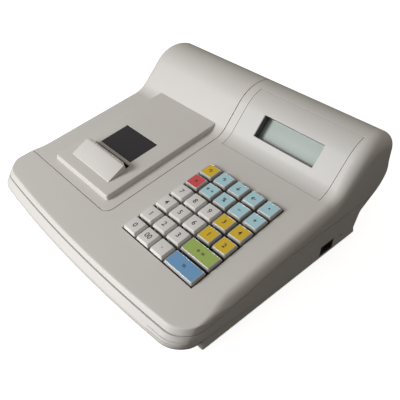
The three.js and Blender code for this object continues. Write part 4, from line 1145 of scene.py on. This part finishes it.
class TICKET_OT_lid(MakesPart, bpy.types.Operator):
    """Build the printer lid with its raised platform, paper hood, slot, window and tear bar"""

    bl_idname = "ticket.lid"
    bl_label = "Printer lid"

    def execute(self, context):
        sizes = self.sizes
        inner = case_solid(WALL)
        lid = common(cut(case_solid(0), copied(inner)), lid_space(-sizes.lid_gap / 2))
        middle = ((PLATFORM["left"] + PLATFORM["right"]) / 2, (PLATFORM["front"] + PLATFORM["rear"]) / 2)
        wide = PLATFORM["right"] - PLATFORM["left"]
        deep = (PLATFORM["rear"] - PLATFORM["front"]) / math.cos(DECK_TILT)
        platform = on_deck(self.platform(wide, deep), *middle)
        rings = [rounded_rectangle(wide - inset * 2, deep - inset * 2, HOLLOW_CORNER, level)
                 for inset, level in ((WALL, -PAST), (WALL + PLATFORM["taper"], PLATFORM["rise"] - WALL))]
        hollow = on_deck(skin("hollow", np.array(rings)), *middle)
        cut(platform, inner)
        joined(lid, platform, on_deck(self.hood(), 0, HOOD["front"]))
        cut(lid, *knuckles((0,), CLEAR))
        joined(lid, *knuckles((-1, 1)))
        cut(lid, hollow, *self.openings(), *hinge_bores())
        self.complete(lid, "printer_cover", "lid", "casing", [self.finish("casing_plastic")],
                      ["printer_lid"])
        self.carry_over("window_tint", "lid_window")
        self.carry_over("bar_steel", "tear_bar")
        return {"FINISHED"}

    def platform(self, wide, deep):
        """The raised platform: a rounded rectangle that tapers as it rises, then follows a quarter circle
        inwards to its flat top."""
        rise, taper, edge = PLATFORM["rise"], PLATFORM["taper"], self.sizes.platform_edge
        turn = arc(8)
        level = np.concatenate([[-WALL / 2, 0], rise - edge + edge * np.sin(turn)])
        inset = np.concatenate([[0, 0], taper + edge * (1 - np.cos(turn))])
        corner = self.sizes.platform_corner
        rings = [rounded_rectangle(wide - 2 * i, deep - 2 * i, max(corner - i * 0.4, 0.0008), z)
                 for i, z in zip(inset, level, strict=True)]
        return skin("platform", np.array(rings))

    def hood_length(self):
        """The hood's depth along the deck."""
        return (HOOD["rear"] - HOOD["front"]) / math.cos(DECK_TILT)

    def hood(self):
        """The hood over the paper slot: a wedge from front to rear, its edges softened."""
        far, rise = self.hood_length(), PLATFORM["rise"]
        top = rise + HOOD["rise"]
        wedge = prism("x", [(0, rise - WALL / 2), (far, rise - WALL / 2), (far, top),
                            (far - HOOD["wall"], top), (0, rise + HOOD["lip"])], HOOD["left"], HOOD["right"])
        return applied(wedge, "BEVEL", width=self.sizes.hood_edge, segments=3, limit_method="ANGLE",
                       angle_limit=math.radians(12))

    def openings(self):
        """What is cut from the lid: the hood's hollow, the paper slot, the window's pocket and its hole."""
        far, rise, wall = self.hood_length(), PLATFORM["rise"], HOOD["wall"]
        top = rise + HOOD["rise"]
        low, high = wall * 3, far - wall
        hollow = prism("x", [(low, -PAST), (high, -PAST), (high, top - wall),
                             (low, rise + HOOD["lip"] - wall / 2)],
                       HOOD["left"] + wall, HOOD["right"] - wall)
        slot_end = far + TEAR_BAR["clear"] + TEAR_BAR["thickness"] + SLOT_DEPTH
        slot = block((HOOD["left"] + SLOT_MARGIN, far, -PAST),
                     (HOOD["right"] - SLOT_MARGIN, slot_end, top + PAST))
        middle = PANE["front"] + PANE["depth"] / 2 * math.cos(DECK_TILT)
        floor = rise - PANE["sunk"] - PANE["thickness"] - CLEAR
        ledge = PANE["ledge"] * 2
        pocket = slab(PANE["width"], PANE["depth"], floor, top)
        hole = slab(PANE["width"] - ledge, PANE["depth"] - ledge, -PAST, top)
        return [*[on_deck(tool, 0, HOOD["front"]) for tool in (hollow, slot)],
                *[on_deck(tool, PRINTER_X, middle) for tool in (pocket, hole)]]


class TICKET_OT_display(MakesPart, bpy.types.Operator):
    """Build the display's curved inlay and give the gasket and the glass their finishes"""

    bl_idname = "ticket.display"
    bl_label = "Display"

    def execute(self, context):
        inlay = common(case_solid(0), inlay_space())
        cut(inlay, case_solid(BEZEL["thickness"]), self.window())
        self.complete(inlay, "display_inlay", "housing", "bezel", [self.finish("panel_plastic")],
                      ["display_bezel"])
        low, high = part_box("lcd_panel")
        self.carry_over("gasket_plastic", "display_gasket")
        self.carry_over("display_glass", "lcd_panel", more=[tuple((low + high) / 2)])
        return {"FINISHED"}

    def window(self):
        """The opening in the inlay, flared outwards by a chamfer at its outer edge."""
        wide, high, flare = SCREEN["width"] / 2, SCREEN["height"] / 2, self.sizes.screen_chamfer
        rings = [rounded_rectangle(2 * (wide + grow), 2 * (high + grow), 0.0006, level, 4)
                 for grow, level in ((0, -SCREEN["depth"] - PAST), (0, -flare), (flare + PAST, PAST))]
        return on_face(skin("window", np.array(rings)))


KEYS = [
    ("0", "white", "0"), ("00", "white", "00"), ("point", "white", "."), ("total", "blue", "="), None,
    ("1", "white", "1"), ("2", "white", "2"), ("3", "white", "3"), ("subtotal", "green", "+ ="), None,
    ("4", "white", "4"), ("5", "white", "5"), ("6", "white", "6"), ("department_1", "yellow", "1"),
    ("department_2", "yellow", "2"),
    ("7", "white", "7"), ("8", "white", "8"), ("9", "white", "9"), ("department_3", "yellow", "3"),
    ("department_4", "yellow", "4"),
    ("clear", "red", "×"), ("quantity", "pale", "× ÷"), ("percent", "pale", "%"),
    ("discount", "pale", "−"), ("plus", "pale", "+"),
    ("feed", "yellow", "↑"), ("up", "pale", "↑"), ("down", "pale", "↓"), ("left", "pale", "←"),
    ("mode", "pale", "•"),
]


class TICKET_OT_keys(MakesPart, bpy.types.Operator):
    """Build the keys: moulded caps with a tapered skirt, a coloured top and a printed legend"""

    bl_idname = "ticket.keys"
    bl_label = "Keys"

    def execute(self, context):
        for place, key in enumerate(KEYS):
            if key is None:
                continue
            name, tint, sign = key
            row, column = divmod(place, KEY_COLUMNS)
            span = 2 if place + 1 < len(KEYS) and KEYS[place + 1] is None else 1
            x = SCREEN_X + (column - (KEY_COLUMNS - span) / 2) * KEY_PITCH
            y = (row - (KEY_ROWS - 1) / 2) * ROW_PITCH
            cap = self.cap(KEY_PITCH * span - KEY_GAP, ROW_PITCH - KEY_GAP, tint != "white")
            self.print_sign(cap, sign, tint)
            moved(cap, (0, y, 0))
            on_deck(cap, x, KEYPAD_Y)
            # Coloured keys: clear walls with painted shade low down, the coloured top, the legend, and rear
            # corners with a painted highlight.
            names = ("clear", tint, "legend", "corner") if tint != "white" else (tint, tint, "legend", tint)
            materials = [self.finish(f"cap_{finish}") for finish in names]
            self.complete(cap, f"cap_{name}", f"button_{name}", f"key_{tint}", materials,
                          [f"key_{name}"], angle=35)
        return {"FINISHED"}

    def cap(self, wide, deep, coloured):
        """A key cap: rings of a rounded rectangle, stepped in as they rise from the skirt, round the top
        edge by a quarter circle, and back down inside to the hollow's ceiling, where the stem hangs."""
        sizes = self.sizes
        inset, edge, border, dip = sizes.key_top_inset, sizes.key_edge, sizes.key_border, sizes.key_dip
        proud, side = KEY["proud"], KEY["side"]
        turn = arc(5)
        inwards = inset - edge * 0.3 + edge * (1 - np.cos(turn))
        upwards = proud - edge + edge * np.sin(turn)
        foot, shoulder = sizes.key_foot, KEY["shoulder"]
        steps = [(inset + side, proud - KEY["crown"]), (foot + side, -KEY["skirt"]), (foot, -KEY["skirt"]),
                 (foot, 0), (sizes.key_skirt_taper, shoulder), *zip(inwards, upwards, strict=True)]
        if coloured:
            steps += [(inset + border, proud), (inset + border + dip, proud - dip)]
        cap = skin("cap", np.array([self.ring(i, wide, deep, z) for i, z in steps]))
        for _ in range(KEY_SLOTS):
            cap.data.materials.append(None)
        cap.data.polygons[-1].material_index = TOP_SLOT
        if coloured:
            # The rear corners' faces of the wall and the top edge take the painted highlight.
            around = (CORNER_STEPS + 1) * 4
            lit = np.add.outer(np.arange(KEY_WALL_ROW, KEY_WALL_ROW + len(turn)) * around, REAR_CORNERS)
            indices = np.zeros(len(cap.data.polygons), dtype=np.int32)
            cap.data.polygons.foreach_get("material_index", indices)
            indices[lit.ravel()] = PAINTED_GLINT_SLOT
            cap.data.polygons.foreach_set("material_index", indices)
        return joined(cap, slab(KEY["stem"], KEY["stem"], KEY["stem_bottom"], proud - KEY["crown"] + BITE))

    def ring(self, inset, wide, deep, level):
        """One ring of the cap, stepped in by inset."""
        return rounded_rectangle(wide - inset * 2, deep - inset * 2, self.sizes.key_corner, level,
                                 CORNER_STEPS)

    def print_sign(self, cap, sign, tint):
        """Adds the sign to the cap's top as ink 0.03 mm thick."""
        curve = bpy.data.curves.new("sign", "FONT")
        curve.body = sign
        curve.align_x = "CENTER"
        curve.align_y = "CENTER"
        curve.size = self.sizes.legend_height * (1.0 if tint == "white" else SIGN_SHARE) / DIGIT_SHARE
        curve.offset = 0.00009
        curve.extrude = 0.00003
        curve.resolution_u = 3
        text = bpy.data.objects.new("sign", curve)
        bpy.context.scene.collection.objects.link(text)
        mesh = evaluated_mesh(text)
        bpy.data.objects.remove(text)
        bpy.data.curves.remove(curve)
        if not mesh.vertices:
            raise RuntimeError(f"the sign {sign!r} has no outline")
        corners = corner_points(mesh)
        middle = (corners.min(0) + corners.max(0)) / 2
        mesh.transform(Matrix.Translation((-middle[0], -middle[1], KEY["proud"])))
        appended(cap, mesh, LEGEND_SLOT)


def appended(piece, mesh, material_index):
    """Adds a loose mesh to a piece, with one material index for all its faces."""
    faces = [list(face.vertices) for face in piece.data.polygons]
    indices = [face.material_index for face in piece.data.polygons]
    points = [list(point.co) for point in piece.data.vertices]
    start = len(points)
    points += [list(point.co) for point in mesh.vertices]
    faces += [[start + corner for corner in face.vertices] for face in mesh.polygons]
    indices += [material_index] * len(mesh.polygons)
    fresh = bpy.data.meshes.new(piece.name)
    fresh.from_pydata(points, [], faces)
    fresh.polygons.foreach_set("material_index", np.array(indices, dtype=np.int32))
    for _ in range(KEY_SLOTS):
        fresh.materials.append(None)
    remeshed(piece, fresh)
    bpy.data.meshes.remove(mesh)


class TICKET_OT_printer(MakesPart, bpy.types.Operator):
    """Build the platen, the ticket roll and its core, and finish the rest of the ticket printer"""

    bl_idname = "ticket.printer"
    bl_label = "Ticket printer"

    def execute(self, context):
        self.carry_over("gear_acetal", "platen_gear")
        self.carry_over("moulded_black", "printer_chassis")
        self.carry_over("head_metal", "print_head")
        self.carry_over("motor_can", "stepper_motor")
        self.carry_over("plain_steel", "motor_pinion")
        self.platen()
        self.roll()
        return {"FINISHED"}

    def platen(self):
        """A rubber sleeve with chamfered ends on a steel shaft."""
        low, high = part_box("platen_roller")
        middle = (low + high) / 2
        place = (0, middle.y, middle.z)
        edge = self.sizes.platen_chamfer
        for name, slot_name, finish, nodes, radius, left, right, steps in (
                ("platen_sleeve", "rubber", "moulded_rubber", ["platen_roller"], PLATEN["radius"],
                 PRINTER_X - PLATEN["width"] / 2, PRINTER_X + PLATEN["width"] / 2, 64),
                ("platen_axle", "steel", "plain_steel", (), PLATEN["shaft"], low.x, high.x, 32)):
            piece = turned([(left, radius - edge), (left + edge, radius), (right - edge, radius),
                            (right, radius - edge)], steps)
            self.complete(moved(piece, place), name, "platen", slot_name, [self.finish(finish)], nodes,
                          shift=False)

    def roll(self):
        """The wound web, whose radius falls by one thickness of its outer layer over a full turn, and the
        cardboard core that it is wound on."""
        low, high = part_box("paper_roll")
        middle = (low + high) / 2
        half, edge, core = ROLL["width"] / 2, self.sizes.roll_edge, self.sizes.core_thickness
        inner, outer = ROLL["core"] + core, ROLL["radius"]
        web = turned([(-half, inner), (half, inner), (half, outer - edge), (half - edge, outer),
                      (-half + edge, outer), (-half, outer - edge)], 160, ring=True)
        corners = corner_points(web.data)
        turn = np.arctan2(corners[:, 2], corners[:, 1]) % (2 * math.pi)
        size = np.hypot(corners[:, 1], corners[:, 2])
        ease = 1 - self.sizes.web_step * turn / (2 * math.pi) / outer * (size > inner + edge)
        corners[:, 1:] *= ease[:, None]
        web.data.vertices.foreach_set("co", corners.ravel())
        tube = turned([(-half, ROLL["core"]), (half, ROLL["core"]), (half, inner), (-half, inner)], 64,
                      ring=True)
        paper, card = self.finish("wound_paper", tuple(middle)), self.finish("core_card")
        self.complete(moved(web, middle), "ticket_roll", "paper", "paper", [paper], ["paper_roll"],
                      shift=False)
        self.complete(moved(tube, middle), "roll_core", "paper", "paper", [card], shift=False)


class TICKET_OT_boards(MakesPart, bpy.types.Operator):
    """Finish the circuit boards, the contact sheet and the frame that guides the keys"""

    bl_idname = "ticket.boards"
    bl_label = "Boards and key frame"

    def execute(self, context):
        self.carry_over("board_lacquer", "main_board", "display_board", "keyboard_board")
        self.carry_over("contact_rubber", "contact_sheet")
        self.carry_over("moulded_black", "key_frame")
        return {"FINISHED"}


class TICKET_OT_sockets(MakesPart, bpy.types.Operator):
    """Finish both sockets, with the contacts of the one at the side and the pin of the one at the back"""

    bl_idname = "ticket.sockets"
    bl_label = "Sockets"

    def execute(self, context):
        self.carry_over("moulded_black", "comms_socket", "dc_jack")
        for piece, name, finish in ((self.contacts(), "socket_contacts", "plated_contacts"),
                                    (self.pin(), "jack_pin", "plain_steel")):
            self.complete(piece, name, "housing", "steel", [self.finish(finish)], shift=False)
        return {"FINISHED"}

    def contacts(self):
        """A row of bent wires that lean from the back of the socket's mouth towards its front."""
        low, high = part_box("comms_socket")
        count, pitch, wire = 8, self.sizes.contact_pitch, self.sizes.contact_wire
        back, front = high.x - SOCKET["mouth_depth"], high.x - SOCKET["mouth_depth"] * 0.3
        ceiling = (low.z + high.z) / 2 + SOCKET["mouth_height"] / 2
        drop = SOCKET["mouth_height"] * 0.45
        bend = back + (front - back) * 0.75
        path = np.array([(ceiling - wire, front), (ceiling - wire - drop * 0.2, front),
                         (ceiling - drop, bend), (ceiling - drop, back)])
        outline = np.concatenate([path, path[::-1] + (-wire, 0)])
        row = None
        for place in range(count):
            left = (low.y + high.y) / 2 + (place - (count - 1) / 2) * pitch - wire / 2
            strip = prism("y", outline, left, left + wire)
            row = joined(row, strip) if row else strip
        return row

    def pin(self):
        """The round pin in the middle of the power jack, with a domed tip."""
        low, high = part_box("dc_jack")
        radius = self.sizes.jack_pin
        tip = low.y + JACK["depth"] * 0.72
        dome = [(tip + radius * math.sin(t), radius * math.cos(t)) for t in arc(6, 0, 80)]
        piece = turned([(low.y + JACK["depth"] * 0.2, radius), *dome], 24)
        piece.data.transform(Matrix.Rotation(math.pi / 2, 4, "Z"))
        return moved(piece, ((low.x + high.x) / 2, 0, (low.z + high.z) / 2))


class TICKET_OT_fasteners(MakesPart, bpy.types.Operator):
    """Build the rubber feet and the case screws, and finish the hinge pins"""

    bl_idname = "ticket.fasteners"
    bl_label = "Feet, screws and pins"

    def execute(self, context):
        for corner in ("front_left", "front_right", "rear_left", "rear_right"):
            for part, make, slot_name, finish, name in (
                    ("foot", self.foot, "rubber", "moulded_rubber", "rubber_foot"),
                    ("screw", self.screw, "steel", "plain_steel", "case_screw")):
                node = f"{part}_{corner}"
                self.complete(make(node), f"{name}_{corner}", "housing", slot_name, [self.finish(finish)],
                              [node], shift=False)
        self.carry_over("plain_steel", "hinge_pin_left", "hinge_pin_right")
        return {"FINISHED"}

    def foot(self, node):
        """A round foot with a rounded lower edge and a dimple in the middle of its underside."""
        low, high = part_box(node)
        radius, height, edge = FOOT["radius"], FOOT["height"], self.sizes.foot_edge
        dimple = radius * 0.36
        rim = [(edge * (1 - math.cos(t)), radius - edge + edge * math.sin(t)) for t in arc(6)]
        piece = turned([(edge * 0.6, dimple - edge * 0.4), (0, dimple), *rim, (height, radius - CLEAR)],
                       64)
        middle = (low + high) / 2
        return moved(upright(piece), (middle.x, middle.y, low.z))

    def screw(self, node):
        """A pan head screw, head down, with a cross recess in its head and a pointed shank."""
        low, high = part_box(node)
        head, tall, shank = SCREW["head"] * 0.95, SCREW["head_height"], SCREW["shank"] * 0.96
        bend = [1 - math.sin(t) for t in arc(6, 25, 90)]
        dome = [(tall * 0.6 * b, head * (1 - 0.35 * b)) for b in bend]
        length = high.z - low.z
        piece = upright(turned([(dome[0][0], 0.0008), *dome, (tall, head), (tall, shank),
                                (length - shank, shank), (length, shank * 0.3)], 40))
        deep, arm, wide = tall * 0.6, head * 1.1, head * 0.32
        cross = joined(slab(arm, wide, -tall, deep), slab(wide, arm, -tall, deep))
        middle = (low + high) / 2
        return moved(cut(piece, cross), (middle.x, middle.y, low.z))


class TICKET_OT_stage(MakesPart, bpy.types.Operator):
    """Set up the floor, the light and the camera"""

    bl_idname = "ticket.stage"
    bl_label = "Stage"

    def execute(self, context):
        stage = context.scene.ticket_register_stage
        floor = solid("floor", [(-4, -4, 0), (4, -4, 0), (4, 4, 0), (-4, 4, 0)], [(0, 1, 2, 3)])
        finish = floor_finish("floor", stage.floor_shown, stage.floor_lit, stage.floor_glow)
        floor.data.materials.append(finish)
        self.world(stage.ambient, stage.ambient_tint)
        self.lamp("key_light", stage.key_place, stage.key_size, stage.key_light, stage.key_tint)
        self.lamp("front_light", stage.front_place, stage.front_size, stage.front_light, stage.key_tint)
        self.camera(stage)
        context.scene.view_settings.view_transform = "Standard"
        return {"FINISHED"}

    def lamp(self, name, place, size, power, tint):
        """A soft square lamp aimed at the middle of the part."""
        data = bpy.data.lights.new(name, "AREA")
        data.shape = "SQUARE"
        data.size = size
        data.energy = power
        data.color = tint
        lamp = bpy.data.objects.new(name, data)
        lamp.location = place
        lamp.rotation_euler = (Vector(AIM) - lamp.location).to_track_quat("-Z", "Y").to_euler()
        bpy.context.scene.collection.objects.link(lamp)

    def world(self, ambient, tint):
        """White where it is seen, and a weak even light for everything else."""
        world = bpy.data.worlds.new("studio")
        graph = Graph(world)
        seen = graph.node("Math", {"operation": "MAXIMUM"},
                          {0: graph.ray("Camera"), 1: graph.ray("Transmission")})
        weak = graph.node("Background", None, {"Color": linear(tint), "Strength": ambient})
        white = graph.node("Background", None, {"Color": WHITE, "Strength": 1.0})
        mix = graph.node("MixShader", None, {0: seen, 1: weak, 2: white})
        graph.node("OutputWorld", None, {"Surface": mix})
        bpy.context.scene.world = world

    def camera(self, stage):
        """The photograph's camera: its right, up and backward directions are the columns of its matrix."""
        data = bpy.data.cameras.new("camera")
        data.sensor_width = 36.0
        data.lens = stage.lens
        camera = bpy.data.objects.new("camera", data)
        right, forward = Vector(CAMERA_RIGHT), Vector(CAMERA_FORWARD)
        up = right.cross(forward)
        turn = Matrix((right, up, -forward)).transposed().to_4x4()
        camera.matrix_world = Matrix.Translation(stage.camera_place) @ turn
        bpy.context.scene.collection.objects.link(camera)
        bpy.context.scene.camera = camera


class TICKET_PT_panel(bpy.types.Panel):
    """The ticket register's sizes, colours and light, and the operators that build it"""

    bl_idname = "TICKET_PT_panel"
    bl_label = "Ticket register"
    bl_space_type = "VIEW_3D"
    bl_region_type = "UI"
    bl_category = "Ticket register"

    def draw(self, context):
        scene = context.scene
        for group in [getattr(scene, name) for name in GROUPS]:
            box = self.layout.box()
            for name in type(group).__annotations__:
                box.prop(group, name)
        for operator in OPERATORS:
            self.layout.operator(operator.bl_idname)


OPERATORS = (TICKET_OT_base, TICKET_OT_upper, TICKET_OT_lid, TICKET_OT_display, TICKET_OT_keys,
             TICKET_OT_printer, TICKET_OT_boards, TICKET_OT_sockets, TICKET_OT_fasteners, TICKET_OT_stage)
GROUPS = {"ticket_register_sizes": TicketRegisterSizes, "ticket_register_colours": TicketRegisterColours,
          "ticket_register_stage": TicketRegisterStage}


def register():
    for kind in (*GROUPS.values(), *OPERATORS, TICKET_PT_panel):
        bpy.utils.register_class(kind)
    for name, group in GROUPS.items():
        setattr(bpy.types.Scene, name, bpy.props.PointerProperty(type=group))


def unregister():
    for name in GROUPS:
        delattr(bpy.types.Scene, name)
    for kind in (TICKET_PT_panel, *reversed(OPERATORS), *GROUPS.values()):
        bpy.utils.unregister_class(kind)


def main():
    """Builds every piece and the stage."""
    register()
    make = bpy.ops.ticket
    for build in (make.base, make.upper, make.lid, make.display, make.keys, make.printer, make.boards,
                  make.sockets, make.fasteners, make.stage):
        build()


if __name__ == "__main__":
    main()
